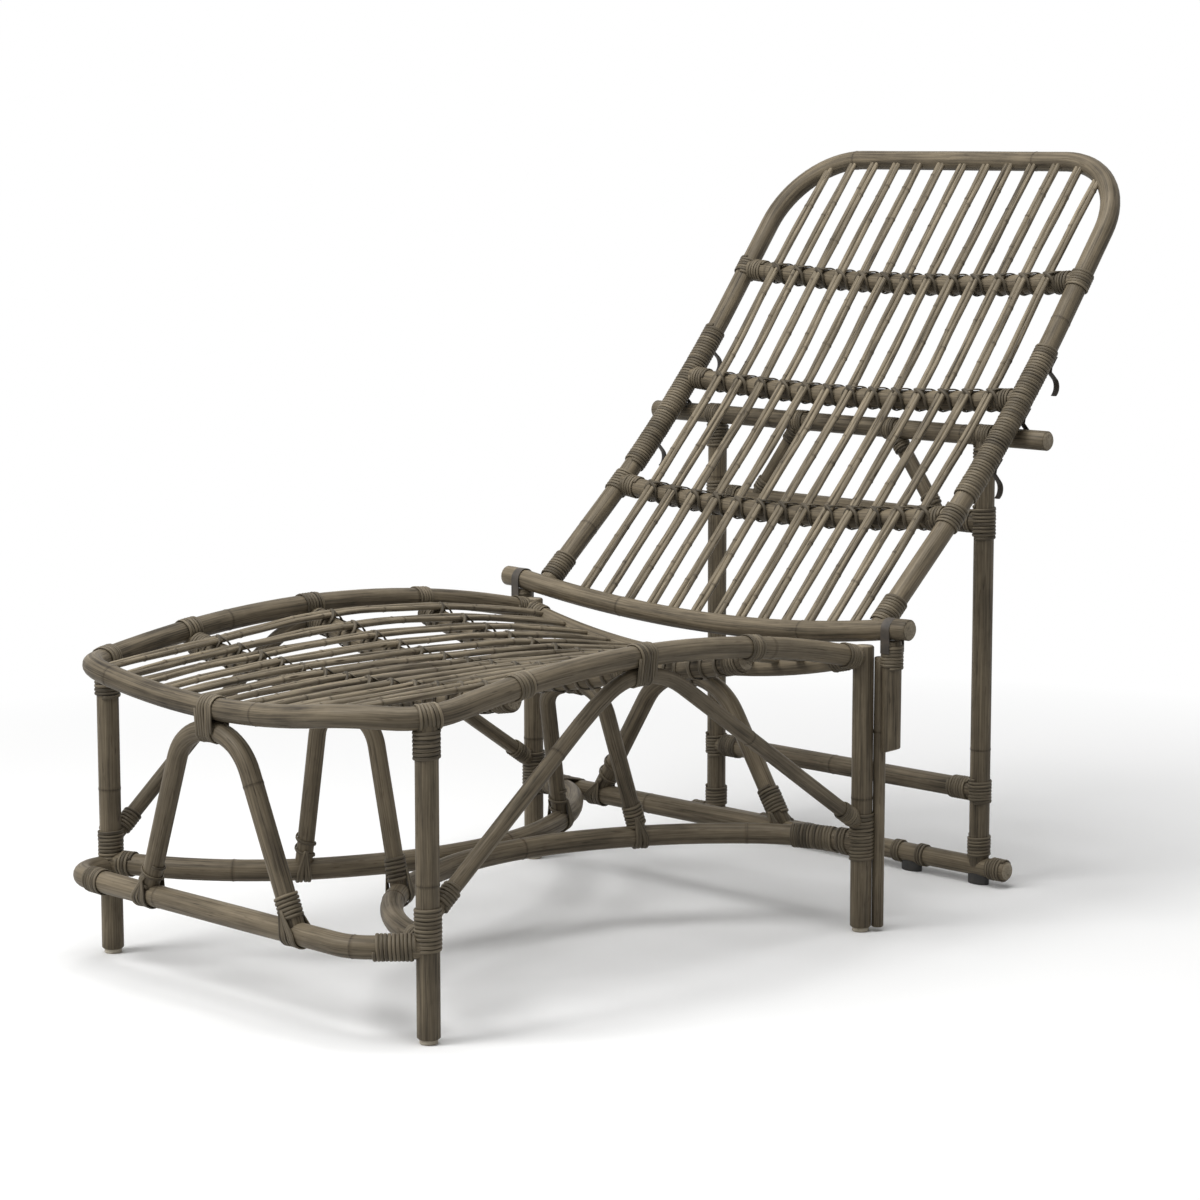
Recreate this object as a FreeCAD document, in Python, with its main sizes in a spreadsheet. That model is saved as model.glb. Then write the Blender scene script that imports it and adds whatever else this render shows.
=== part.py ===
import FreeCAD, Part
import math
import os
from types import SimpleNamespace

# Rattan garden chaise longue. Lengths in millimetres, angles in degrees. X is across the seat, Y runs from
# the foot to the head and is measured from half way between the legs, Z is the height over the floor.
SIZES = {
    "pole_diameter": 28,
    "bar_diameter": 27,
    "arch_diameter": 25,
    "inner_arch_diameter": 22,
    "side_arch_diameter": 20,
    "brace_diameter": 21,
    "peg_diameter": 25,
    "guide_diameter": 16,
    "rod_diameter": 7,
    "rod_merge": 0.2,
    "strand_diameter": 4.4,
    "lashing_pitch": 5.6,
    "wrap_pitch": 6.6,
    "seat_gap": 0.3,
    "rail_half_width": 309,
    "rear_leg_y": 382,
    "rear_leg_height": 381,
    "front_leg_turn": 22,
    "glide_height": 6,
    "glide_diameter": 22,
    "rim_front_y": -450,
    "rim_corner_radius": 112,
    "rim_crown_y": -37,
    "rim_crown_height": 415,
    "rim_corner_height": 388,
    "rim_front_end_height": 380,
    "rim_front_height": 365,
    "rim_rear_drop": 16,
    "bar_inset": 9,
    "front_bar_y": -240,
    "front_bar_end_height": 387,
    "front_bar_height": 360,
    "middle_bar_y": -37,
    "middle_bar_end_height": 399,
    "middle_bar_height": 356,
    "rear_bar_y": 163,
    "rear_bar_end_height": 386,
    "rear_bar_height": 345,
    "rear_rail_y": 367,
    "rear_rail_end_drop": 15,
    "rear_rail_drop": 53,
    "slat_count": 13,
    "slat_pitch_front": 36,
    "slat_pitch_front_bar": 42,
    "slat_pitch_middle_bar": 44.5,
    "slat_pitch_rear": 45,
    "slat_rise": 5,
    "slat_gap": 0.5,
    "slat_overhang": 8,
    "front_stretcher_y": -443,
    "front_stretcher_height": 114,
    "stretcher_left_bend": 42,
    "stretcher_right_reach": 25,
    "rear_stretcher_height": 115,
    "bow_height": 119,
    "bow_half_gap": 17,
    "bow_neck_x": 44,
    "bow_neck_y": 140,
    "bow_turn_x": 120,
    "bow_turn_y": 272,
    "bow_rear_x": 215,
    "bow_rear_y": 354,
    "front_arch_foot": 142,
    "front_arch_shoulder": 69,
    "front_arch_shoulder_height": 296,
    "rear_arch_foot": 176,
    "rear_arch_shoulder": 84,
    "rear_arch_shoulder_drop": 66,
    "side_arch_front_height": 146,
    "side_arch_front_shoulder_y": -140,
    "side_arch_front_shoulder_height": 344,
    "side_arch_rear_height": 142,
    "side_arch_rear_shoulder_y": 106,
    "side_arch_rear_shoulder_height": 324,
    "inner_front_foot_y": -236,
    "inner_rear_foot_y": 205,
    "inner_arch_shoulder": 56,
    "inner_front_shoulder_height": 298,
    "inner_rear_shoulder_height": 284,
    "guide_drop": 15,
    "peg_length": 150,
    "strap_thickness": 1.6,
    "strap_width": 14,
    "strap_drop": 30,
    "hinge_y": 396,
    "hinge_rise": 23,
    "bottom_rail_half_length": 376,
    "bottom_rail_straight": 70,
    "bottom_rail_sag": 28,
    "bottom_rail_bow": 15,
    "hoop_start_back": 9,
    "hoop_start_drop": 8.6,
    "hoop_lower_angle": 41.2,
    "hoop_upper_angle": 52.3,
    "hoop_lower_length": 359,
    "hoop_upper_length": 467,
    "hoop_bend_reach": 200,
    "hoop_corner_radius": 120,
    "low_back_bar_at": 209,
    "middle_back_bar_at": 418,
    "upper_back_bar_at": 619,
    "low_back_bar_sag": 19,
    "upper_back_bar_sag": 13,
    "back_slat_pitch": 42,
    "back_slat_shift_low": 21,
    "back_slat_shift_top": 12,
    "lower_wrap_start": 248,
    "lower_wrap_loops": 23,
    "upper_wrap_start": 438,
    "upper_wrap_loops": 8,
    "first_hook_at": 290,
    "hook_count": 3,
    "hook_pitch": 88,
    "hook_arc": 105,
    "hook_thickness": 1.5,
    "hook_width": 12,
    "hook_foot": 16,
    "hook_play": 0.4,
    "support_left_reach": 375,
    "support_right_reach": 357,
    "support_leg_half_width": 250,
    "support_middle_height": 510,
    "support_low_height": 133,
    "support_foot_y": 708,
    "brace_top_half_width": 85,
    "brace_low_half_width": 173,
    "runner_half_length": 300,
    "runner_height": 25,
    "runner_glide_half_width": 130,
    "runner_glide_diameter": 20,
    "lashing_loops": 4,
    "lashing_clear": 24,
}

doc = FreeCAD.newDocument("ChaiseLongue")
dims = doc.addObject("Spreadsheet::Sheet", "Dims")
for row, (alias, number) in enumerate(SIZES.items(), start=1):
    dims.set("A%d" % row, alias)
    dims.set("B%d" % row, str(number))
    dims.setAlias("B%d" % row, alias)
doc.recompute()
d = SimpleNamespace(**{alias: float(dims.get(alias)) for alias in SIZES})

ACROSS = FreeCAD.Vector(1, 0, 0)
AHEAD = FreeCAD.Vector(0, 1, 0)
UP = FreeCAD.Vector(0, 0, 1)
NEARLY_STRAIGHT = 1e-6
SAMPLES_PER_LOOP = 24
SIDES = {"left": -1, "right": 1}

pole_r = d.pole_diameter / 2
bar_r = d.bar_diameter / 2
rod_r = d.rod_diameter / 2
rim_rear_height = d.rear_leg_height - d.rim_rear_drop
rear_rail_end_height = d.rear_leg_height - d.rear_rail_end_drop
rear_rail_height = d.rear_leg_height - d.rear_rail_drop
hinge_height = d.rear_leg_height + d.hinge_rise
lower_turn = math.radians(d.hoop_lower_angle)
upper_turn = math.radians(d.hoop_upper_angle)
hoop_start_y = d.hinge_y + d.hoop_start_back
hoop_bend_y = hoop_start_y + d.hoop_lower_length * math.cos(lower_turn)
top_rail_y = hoop_bend_y + d.hoop_upper_length * math.cos(upper_turn)

# The origin lies under the middle of the whole chaise.
y_origin = (d.rim_front_y + top_rail_y) / 2

nodes = {}
paths = {}
widths = {}
rooms = {}


def spot(x, y, z):
    return FreeCAD.Vector(x, y - y_origin, z)


def unit(vector):
    return FreeCAD.Vector(vector).normalize()


def reflect(way, chord):
    step = unit(chord)
    return unit(step * (2 * step.dot(way)) - way)


def arc(start, corner, end):
    turn = (corner - start).getAngle(end - corner)
    if turn < NEARLY_STRAIGHT:
        return Part.makeLine(start, end)
    middle = (start + end) * 0.5
    share = math.tan(turn / 4) / math.tan(turn / 2)
    return Part.Arc(start, middle + (corner - middle) * share, end).toShape()


# Two tangent arcs that leave the first spot along its way and reach the second along its own.
def biarc(start, leave, end, arrive):
    chord = end - start
    both = leave + arrive
    spread = 1 - leave.dot(arrive)
    run = chord.dot(both)
    if spread < NEARLY_STRAIGHT:
        if unit(chord).getAngle(leave) < NEARLY_STRAIGHT:
            return [Part.makeLine(start, end)]
        reach = chord.dot(chord) / (2 * run)
    else:
        reach = (math.sqrt(run * run + 2 * spread * chord.dot(chord)) - run) / (2 * spread)
    first = start + leave * reach
    second = end - arrive * reach
    joint = (first + second) * 0.5
    return [arc(start, first, joint), arc(joint, second, end)]


# A station is a spot and the way the pole runs there, or None where its neighbours decide the way.
def smooth(stations):
    spots = [place for place, way in stations]
    given = [way for place, way in stations]
    ways = list(given)
    last = len(spots) - 1
    for i in range(1, last):
        if given[i] is None:
            before = spots[i] - spots[i - 1]
            after = spots[i + 1] - spots[i]
            if given[i - 1] is not None:
                ways[i] = reflect(given[i - 1], before)
            elif given[i + 1] is not None:
                ways[i] = reflect(given[i + 1], after)
            else:
                ways[i] = unit(before * (1 / before.dot(before)) + after * (1 / after.dot(after)))
    if ways[0] is None:
        ways[0] = reflect(ways[1], spots[1] - spots[0])
    if ways[last] is None:
        ways[last] = reflect(ways[last - 1], spots[last] - spots[last - 1])
    edges = []
    for i in range(last):
        edges += biarc(spots[i], ways[i], spots[i + 1], ways[i + 1])
    return edges


# Half of a pole, from its right end to the middle, followed by its mirror image.
def mirrored(half):
    stations = list(half)
    for place, way in reversed(half[:-1]):
        turned = None if way is None else FreeCAD.Vector(way.x, -way.y, -way.z)
        stations.append((FreeCAD.Vector(-place.x, place.y, place.z), turned))
    return stations


def along(edges, distance):
    for edge in edges:
        if distance <= edge.Length or edge is edges[-1]:
            place = edge.getParameterByLength(min(distance, edge.Length))
            return edge.valueAt(place), unit(edge.tangentAt(place))
        distance -= edge.Length


# The spot where a path first reaches a value of one coordinate.
def crossing(edges, axis, value):
    for edge in edges:
        low, high = edge.ParameterRange
        offset = edge.valueAt(low)[axis] - value
        if offset * (edge.valueAt(high)[axis] - value) <= 0:
            while high - low > NEARLY_STRAIGHT:
                middle = (low + high) / 2
                if offset * (edge.valueAt(middle)[axis] - value) > 0:
                    low = middle
                else:
                    high = middle
            return edge.valueAt(low), unit(edge.tangentAt(low))


def tube(name, edges, radius):
    start, way = edges[0].valueAt(edges[0].FirstParameter), edges[0].tangentAt(edges[0].FirstParameter)
    turned = FreeCAD.Placement(start, FreeCAD.Rotation(UP, way))
    if len(edges) == 1:
        pole = doc.addObject("Part::Cylinder", name)
        pole.setExpression("Radius", radius)
        pole.Height = edges[0].Length
        pole.Placement = turned
        return pole
    section = doc.addObject("Part::Circle", name + "_section")
    section.setExpression("Radius", radius)
    section.Placement = turned
    return sweep(name, edges, section)


def sweep(name, edges, section):
    spine = doc.addObject("Part::Feature", name + "_path")
    spine.Shape = Part.Wire(edges)
    pole = doc.addObject("Part::Sweep", name)
    pole.Sections = [section]
    pole.Spine = (spine, [])
    pole.Solid = True
    pole.Frenet = False
    return pole


# The space that a pole needs with its seat gap, cut out of what butts against it.
def room(label):
    if label not in rooms:
        rooms[label] = tube(label + "_room", paths[label], "Dims.%s / 2 + Dims.seat_gap" % widths[label])
    return rooms[label]


def trim(name, solid, seats):
    for number, seat in enumerate(seats):
        cut = doc.addObject("Part::Cut", "%s_cut_%d" % (name, number))
        cut.Base = solid
        cut.Tool = room(seat)
        solid = cut
    return solid


def keep(label, solid, seats=()):
    solid = trim(label, solid, seats)
    solid.Label = label
    nodes[label] = solid
    return solid


def pole(label, stations, seats=(), width="pole_diameter"):
    paths[label] = smooth(stations)
    widths[label] = width
    return keep(label, tube(label + "_pole", paths[label], "Dims.%s / 2" % width), seats)


def group(label, solids, seats=()):
    joined = doc.addObject("Part::Compound", label + "_group")
    joined.Links = [trim(solid.Name, solid, seats) for solid in solids]
    return keep(label, joined)


# Turns of strand round a pole, one unbroken tube from a distance along the pole.
def winding(name, carrier, start, loops, pitch):
    reach = getattr(d, widths[carrier]) / 2 + d.seat_gap + d.strand_diameter / 2
    stations = []
    for half in range(2 * int(loops) + 1):
        centre, axis = along(paths[carrier], start + half * pitch / 2)
        hint = AHEAD if abs(axis.x) > math.sqrt(0.5) else ACROSS
        side = unit(hint - axis * hint.dot(axis)) * (-1) ** half
        way = unit(axis.cross(side) * (math.pi * reach) + axis * (pitch / 2))
        stations.append((centre + side * reach, way))
    lead = d.strand_diameter
    first, first_way = stations[0]
    last, last_way = stations[-1]
    stations.insert(0, (first - first_way * lead, first_way))
    stations.append((last + last_way * lead, last_way))
    edges = smooth(stations)
    strand_gap(name, Part.Wire(edges), int(loops))
    return tube(name, edges, "Dims.strand_diameter / 2")


def strand_gap(name, wire, loops):
    points = wire.discretize(Number=SAMPLES_PER_LOOP * loops)
    apart = SAMPLES_PER_LOOP // 2
    least = min(
        points[i].distanceToPoint(points[j])
        for i in range(len(points))
        for j in range(i + apart, min(i + 2 * SAMPLES_PER_LOOP, len(points)))
    )
    print("%s least gap to itself %.2f mm" % (name, least - d.strand_diameter))


# Seat rim, one pole bent round both sides and the front.
corner_y = d.rim_front_y + d.rim_corner_radius
corner_x = d.rail_half_width - d.rim_corner_radius
leg_turn = math.radians(d.front_leg_turn)
front_leg_x = corner_x + d.rim_corner_radius * math.cos(leg_turn)
paths["seat_rim"] = smooth(mirrored([
    (spot(d.rail_half_width, d.rear_leg_y, rim_rear_height), None),
    (spot(d.rail_half_width, d.rim_crown_y, d.rim_crown_height), -AHEAD),
    (spot(d.rail_half_width, corner_y, d.rim_corner_height), None),
    (spot(corner_x, d.rim_front_y, d.rim_front_end_height), None),
    (spot(0, d.rim_front_y, d.rim_front_height), -ACROSS),
]))
widths["seat_rim"] = "pole_diameter"

# Legs, with a glide under each: the front pair carry the rim's corners, the rear pair end behind its ends.
leg_head, rim_way = crossing(paths["seat_rim"], 0, front_leg_x)
front_leg_y = leg_head.y + y_origin
LEGS = {
    "front_left": (-front_leg_x, front_leg_y, leg_head.z),
    "front_right": (front_leg_x, front_leg_y, leg_head.z),
    "rear_left": (-d.rail_half_width, d.rear_leg_y, d.rear_leg_height),
    "rear_right": (d.rail_half_width, d.rear_leg_y, d.rear_leg_height),
}
for name, (x, y, top) in LEGS.items():
    pole(name + "_leg", [(spot(x, y, d.glide_height), UP), (spot(x, y, top), UP)],
         ["seat_rim"] if name.startswith("front") else [])
    glide = doc.addObject("Part::Cylinder", name + "_glide")
    glide.setExpression("Radius", "Dims.glide_diameter / 2")
    glide.setExpression("Height", "Dims.glide_height")
    glide.Placement.Base = spot(x, y, 0)
    keep(name + "_glide", glide)
keep("seat_rim", tube("seat_rim_pole", paths["seat_rim"], "Dims.pole_diameter / 2"),
     ["rear_left_leg", "rear_right_leg"])

# Front stretcher: its left end bends back to the leg, its right end slants to the leg.
height = d.front_stretcher_height
slant = unit(ACROSS + AHEAD)
right_corner = spot(front_leg_x - (front_leg_y - d.front_stretcher_y), d.front_stretcher_y, height)
pole("front_stretcher", [
    (spot(-front_leg_x, front_leg_y, height), -AHEAD),
    (spot(-front_leg_x, d.front_stretcher_y + d.stretcher_left_bend, height), -AHEAD),
    (spot(d.stretcher_left_bend - front_leg_x, d.front_stretcher_y, height), ACROSS),
    (right_corner - ACROSS * d.stretcher_right_reach, ACROSS),
    (right_corner + slant * d.stretcher_right_reach, slant),
    (spot(front_leg_x, front_leg_y, height), slant),
], ["front_left_leg", "front_right_leg"])

# Rear stretcher, straight between the rear legs.
pole("rear_stretcher", [
    (spot(-d.rail_half_width, d.rear_leg_y, d.rear_stretcher_height), ACROSS),
    (spot(d.rail_half_width, d.rear_leg_y, d.rear_stretcher_height), ACROSS),
], ["rear_left_leg", "rear_right_leg"])

# Two bowed stretchers, each from a front leg in to the middle and out to the rear leg of its side.
for side, hand in SIDES.items():
    front_end = spot(hand * front_leg_x, front_leg_y, d.bow_height)
    rear_end = spot(hand * d.rail_half_width, d.rear_leg_y, d.bow_height)
    pole(side + "_bow_stretcher", [
        (front_end, None),
        (spot(hand * d.bow_turn_x, -d.bow_turn_y, d.bow_height), None),
        (spot(hand * d.bow_neck_x, -d.bow_neck_y, d.bow_height), None),
        (spot(hand * d.bow_half_gap, 0, d.bow_height), AHEAD),
        (spot(hand * d.bow_neck_x, d.bow_neck_y, d.bow_height), None),
        (spot(hand * d.bow_turn_x, d.bow_turn_y, d.bow_height), None),
        (spot(hand * d.bow_rear_x, d.bow_rear_y, d.bow_height), None),
        (rear_end, None),
    ], ["front_%s_leg" % side, "rear_%s_leg" % side, "front_stretcher", "rear_stretcher"])


# An arch: straight sides from its feet to its shoulders, then round under what it carries.
def arch(label, foot, shoulder, apex, seats, width="arch_diameter"):
    rise = unit(shoulder - foot)
    return pole(label, mirrored([(foot, rise), (shoulder, rise), (apex, -ACROSS)]), seats, width)


under = (d.pole_diameter + d.arch_diameter) / 2 + d.seat_gap
under_inner = (d.pole_diameter + d.inner_arch_diameter) / 2 + d.seat_gap
under_side = (d.pole_diameter + d.side_arch_diameter) / 2 + d.seat_gap
arch("front_arch",
     spot(d.front_arch_foot, d.front_stretcher_y, d.front_stretcher_height),
     spot(d.front_arch_shoulder, d.rim_front_y, d.front_arch_shoulder_height),
     spot(0, d.rim_front_y, d.rim_front_height - under), ["front_stretcher"])
rear_step = d.rear_leg_y - d.rear_rail_y
rear_apex = rear_rail_height - math.sqrt(under * under - rear_step * rear_step)
arch("rear_arch",
     spot(d.rear_arch_foot, d.rear_leg_y, d.rear_stretcher_height),
     spot(d.rear_arch_shoulder, d.rear_leg_y, rear_rail_height - d.rear_arch_shoulder_drop),
     spot(0, d.rear_leg_y, rear_apex), ["rear_stretcher"])
for label, foot_y, bar_y, bar_height, shoulder_height in (
    ("inner_front_arch", d.inner_front_foot_y,
     d.front_bar_y, d.front_bar_height, d.inner_front_shoulder_height),
    ("inner_rear_arch", d.inner_rear_foot_y,
     d.rear_bar_y, d.rear_bar_height, d.inner_rear_shoulder_height),
):
    foot, foot_way = crossing(paths["right_bow_stretcher"], 1, foot_y - y_origin)
    arch(label, foot, spot(d.inner_arch_shoulder, bar_y, shoulder_height),
         spot(0, bar_y, bar_height - under_inner), ["left_bow_stretcher", "right_bow_stretcher"],
         "inner_arch_diameter")
for side, hand in SIDES.items():
    x = hand * d.rail_half_width
    front_foot = spot(hand * front_leg_x, front_leg_y, d.side_arch_front_height)
    front_shoulder = spot(x, d.side_arch_front_shoulder_y, d.side_arch_front_shoulder_height)
    rear_shoulder = spot(x, d.side_arch_rear_shoulder_y, d.side_arch_rear_shoulder_height)
    rear_foot = spot(x, d.rear_leg_y, d.side_arch_rear_height)
    rise = unit(front_shoulder - front_foot)
    fall = unit(rear_foot - rear_shoulder)
    pole(side + "_side_arch", [
        (front_foot, rise),
        (front_shoulder, rise),
        (spot(x, d.rim_crown_y, d.rim_crown_height - under_side), AHEAD),
        (rear_shoulder, fall),
        (rear_foot, fall),
    ], ["front_%s_leg" % side, "rear_%s_leg" % side], "side_arch_diameter")


# A sagging bar between the side rails.
def cross_bar(label, y, end_height, height, seats):
    return pole(label, mirrored([
        (spot(d.rail_half_width - d.bar_inset, y, end_height), None),
        (spot(0, y, height), -ACROSS),
    ]), seats)


cross_bar("seat_bar_front", d.front_bar_y, d.front_bar_end_height, d.front_bar_height, ["seat_rim"])
cross_bar("seat_bar_middle", d.middle_bar_y, d.middle_bar_end_height, d.middle_bar_height,
          ["seat_rim", "left_side_arch", "right_side_arch"])
cross_bar("seat_bar_rear", d.rear_bar_y, d.rear_bar_end_height, d.rear_bar_height, ["seat_rim"])
cross_bar("seat_rear_rail", d.rear_rail_y, rear_rail_end_height, rear_rail_height,
          ["seat_rim", "rear_left_leg", "rear_right_leg"])


# A slat is two thin rods side by side, joined a little along the groove between them, flat on its bed.
def slat(name, stations, bed):
    edges = smooth(stations)
    start, way = edges[0].valueAt(edges[0].FirstParameter), unit(edges[0].tangentAt(edges[0].FirstParameter))
    side = unit(bed - way * bed.dot(way))
    lift = side.cross(way)
    offset = rod_r - d.rod_merge
    waist = math.sqrt(rod_r * rod_r - offset * offset)
    outline = []
    for hand in SIDES.values():
        outer = start + side * hand * (offset + rod_r)
        outline.append(Part.Arc(start + lift * waist * hand, outer, start - lift * waist * hand).toShape())
    section = doc.addObject("Part::Feature", name + "_section")
    section.Shape = Part.Wire(outline)
    return sweep(name, edges, section)


slat_steps = [i - (int(d.slat_count) - 1) / 2 for i in range(int(d.slat_count))]
slat_seat = pole_r + d.slat_gap + rod_r
seat_slats = []
for number, step in enumerate(slat_steps):
    front, front_way = crossing(paths["seat_rim"], 0, step * d.slat_pitch_front)
    stations = [(front + UP * d.slat_rise, None)]
    for bar, pitch in (("seat_bar_front", d.slat_pitch_front_bar),
                       ("seat_bar_middle", d.slat_pitch_middle_bar),
                       ("seat_bar_rear", d.slat_pitch_rear),
                       ("seat_rear_rail", d.slat_pitch_rear)):
        place, way = crossing(paths[bar], 0, step * pitch)
        stations.append((place + AHEAD.cross(way) * slat_seat, None))
    rear, rear_way = stations[-1]
    before, before_way = stations[-2]
    stations.append((rear + unit(rear - before) * d.slat_overhang, None))
    bed, bed_way = crossing(paths["seat_bar_rear"], 0, step * d.slat_pitch_rear)
    seat_slats.append(slat("seat_slat_%d" % number, stations, bed_way))
group("seat_slats", seat_slats, ["seat_rim"])

# Guide posts behind the rear legs, pegs beside them, and the straps in which the backrest turns.
guide_step = (pole_r + d.guide_diameter / 2 + d.seat_gap) * math.sqrt(0.5)
guide_x = d.rail_half_width + guide_step
guide_y = d.rear_leg_y + guide_step
peg_reach = d.guide_diameter / 2 + d.peg_diameter / 2 + d.seat_gap
peg_x = guide_x + math.sqrt(peg_reach * peg_reach - (guide_y - d.hinge_y) ** 2)
peg_top = hinge_height - pole_r - d.seat_gap
for side, hand in SIDES.items():
    pole(side + "_guide_post", [
        (spot(hand * guide_x, guide_y, d.glide_height), UP),
        (spot(hand * guide_x, guide_y, d.rear_leg_height - d.guide_drop), UP),
    ], width="guide_diameter")
    pole(side + "_hinge_peg", [
        (spot(hand * peg_x, d.hinge_y, peg_top - d.peg_length), UP),
        (spot(hand * peg_x, d.hinge_y, peg_top), UP),
    ], width="peg_diameter")


def cylinder_sector(name, start, way, axis, radius, angle, width):
    sector = doc.addObject("Part::Cylinder", name)
    sector.setExpression("Radius", radius)
    sector.setExpression("Angle", angle)
    sector.setExpression("Height", width)
    turned = FreeCAD.Rotation(way, axis.cross(way), axis, "ZXY")
    sector.Placement = FreeCAD.Placement(start, turned)
    return sector


def strip(name, corner, along_way, across_way, length, width, thickness):
    plate = doc.addObject("Part::Box", name)
    plate.setExpression("Length", length)
    plate.setExpression("Width", width)
    plate.setExpression("Height", thickness)
    plate.Placement = FreeCAD.Placement(
        corner, FreeCAD.Rotation(along_way, across_way, along_way.cross(across_way), "ZXY"))
    return plate


def bent_strip(name, bow, bore, plates):
    curved = doc.addObject("Part::Cut", name + "_bow")
    curved.Base = bow
    curved.Tool = bore
    whole = doc.addObject("Part::MultiFuse", name)
    whole.Shapes = [curved] + plates
    return whole


HALF_TURN = "180"
FULL_TURN = "360"
strap_bore = "Dims.pole_diameter / 2 + Dims.seat_gap"
strap_round = strap_bore + " + Dims.strap_thickness"
for side, hand in SIDES.items():
    name = side + "_hinge_strap"
    edge = spot(hand * peg_x - d.strap_width / 2, d.hinge_y, hinge_height)
    bow = cylinder_sector(name + "_round", edge, AHEAD, ACROSS, strap_round, HALF_TURN, "Dims.strap_width")
    bore = cylinder_sector(name + "_bore", edge, AHEAD, ACROSS, strap_bore, FULL_TURN, "Dims.strap_width")
    inner = pole_r + d.seat_gap
    tails = [
        strip(name + "_front", edge - AHEAD * inner, -UP, ACROSS,
              "Dims.strap_drop", "Dims.strap_width", "Dims.strap_thickness"),
        strip(name + "_back", edge + AHEAD * (inner + d.strap_thickness), -UP, ACROSS,
              "Dims.strap_drop", "Dims.strap_width", "Dims.strap_thickness"),
    ]
    keep(name, bent_strip(name + "_strip", bow, bore, tails))

# Backrest hoop: two side rails with a bend half way up, joined by the top rail's round corners.
hoop_start_z = hinge_height - d.hoop_start_drop
lower_way = FreeCAD.Vector(0, math.cos(lower_turn), math.sin(lower_turn))
upper_way = FreeCAD.Vector(0, math.cos(upper_turn), math.sin(upper_turn))
hoop_start = spot(d.rail_half_width, hoop_start_y, hoop_start_z)
hoop_bend = hoop_start + lower_way * d.hoop_lower_length
hoop_top = hoop_bend + upper_way * d.hoop_upper_length
pole_half = d.bottom_rail_half_length
straight_end = pole_half - d.bottom_rail_straight
pole("backrest_bottom_rail", mirrored([
    (spot(pole_half, d.hinge_y, hinge_height), -ACROSS),
    (spot(straight_end, d.hinge_y, hinge_height), -ACROSS),
    (spot(0, d.hinge_y + d.bottom_rail_bow, hinge_height - d.bottom_rail_sag), -ACROSS),
]))
pole("backrest_hoop", mirrored([
    (hoop_start, lower_way),
    (hoop_bend - lower_way * d.hoop_bend_reach, lower_way),
    (hoop_bend + upper_way * d.hoop_bend_reach, upper_way),
    (hoop_top - upper_way * d.hoop_corner_radius, upper_way),
    (hoop_top - ACROSS * d.hoop_corner_radius, -ACROSS),
    (FreeCAD.Vector(0, hoop_top.y, hoop_top.z), -ACROSS),
]), ["backrest_bottom_rail"])

# Three sagging bars across the backrest.
BACK_BARS = (
    ("backrest_bar_low", d.low_back_bar_at, d.low_back_bar_sag),
    ("backrest_bar_middle", d.middle_back_bar_at, d.upper_back_bar_sag),
    ("backrest_bar_upper", d.upper_back_bar_at, d.upper_back_bar_sag),
)
for label, distance, sag in BACK_BARS:
    end, way = along(paths["backrest_hoop"], distance)
    middle = FreeCAD.Vector(0, end.y, end.z - sag)
    pole(label, mirrored([(end, None), (middle, -ACROSS)]), ["backrest_hoop"])

# Backrest slats lie on the front of the bars and end against the bottom rail and the top rail.
hoop_clear = d.pole_diameter / 2 + 2 * d.seat_gap
back_slats = []
for number, step in enumerate(slat_steps):
    across = step * d.back_slat_pitch
    low, low_way = crossing(paths["backrest_bottom_rail"], 0, across + d.back_slat_shift_low)
    stations = [(low + ACROSS.cross(lower_way) * d.slat_rise - lower_way * d.slat_overhang, None)]
    for label, distance, sag in BACK_BARS:
        end, way = along(paths["backrest_hoop"], distance)
        share = distance / (d.hoop_lower_length + d.hoop_upper_length)
        shift = d.back_slat_shift_low + (d.back_slat_shift_top - d.back_slat_shift_low) * share
        place, bar_way = crossing(paths[label], 0, across + shift)
        lift = unit(ACROSS.cross(way) - bar_way * ACROSS.cross(way).dot(bar_way))
        stations.append((place + lift * slat_seat, None))
    bed, bed_way = crossing(paths["backrest_bar_low"], 0, across)
    high, high_way = crossing(paths["backrest_hoop"], 0, across + d.back_slat_shift_top)
    stations.append((high + ACROSS.cross(upper_way) * d.slat_rise - upper_way * hoop_clear, None))
    back_slats.append(slat("back_slat_%d" % number, stations, bed_way))
group("backrest_slats", back_slats, ["backrest_bottom_rail", "backrest_hoop"])

# Long wraps of strand on both side rails. The hoop runs up its right rail and down its left one.
hoop_length = sum(edge.Length for edge in paths["backrest_hoop"])
for label, start, loops in (("lower_wrap", d.lower_wrap_start, d.lower_wrap_loops),
                            ("upper_wrap", d.upper_wrap_start, d.upper_wrap_loops)):
    length = loops * d.wrap_pitch
    for side, distance in (("right", start), ("left", hoop_length - start - length)):
        name = "%s_%s" % (side, label)
        keep(name, winding(name + "_strand", "backrest_hoop", distance, loops, d.wrap_pitch))

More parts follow.
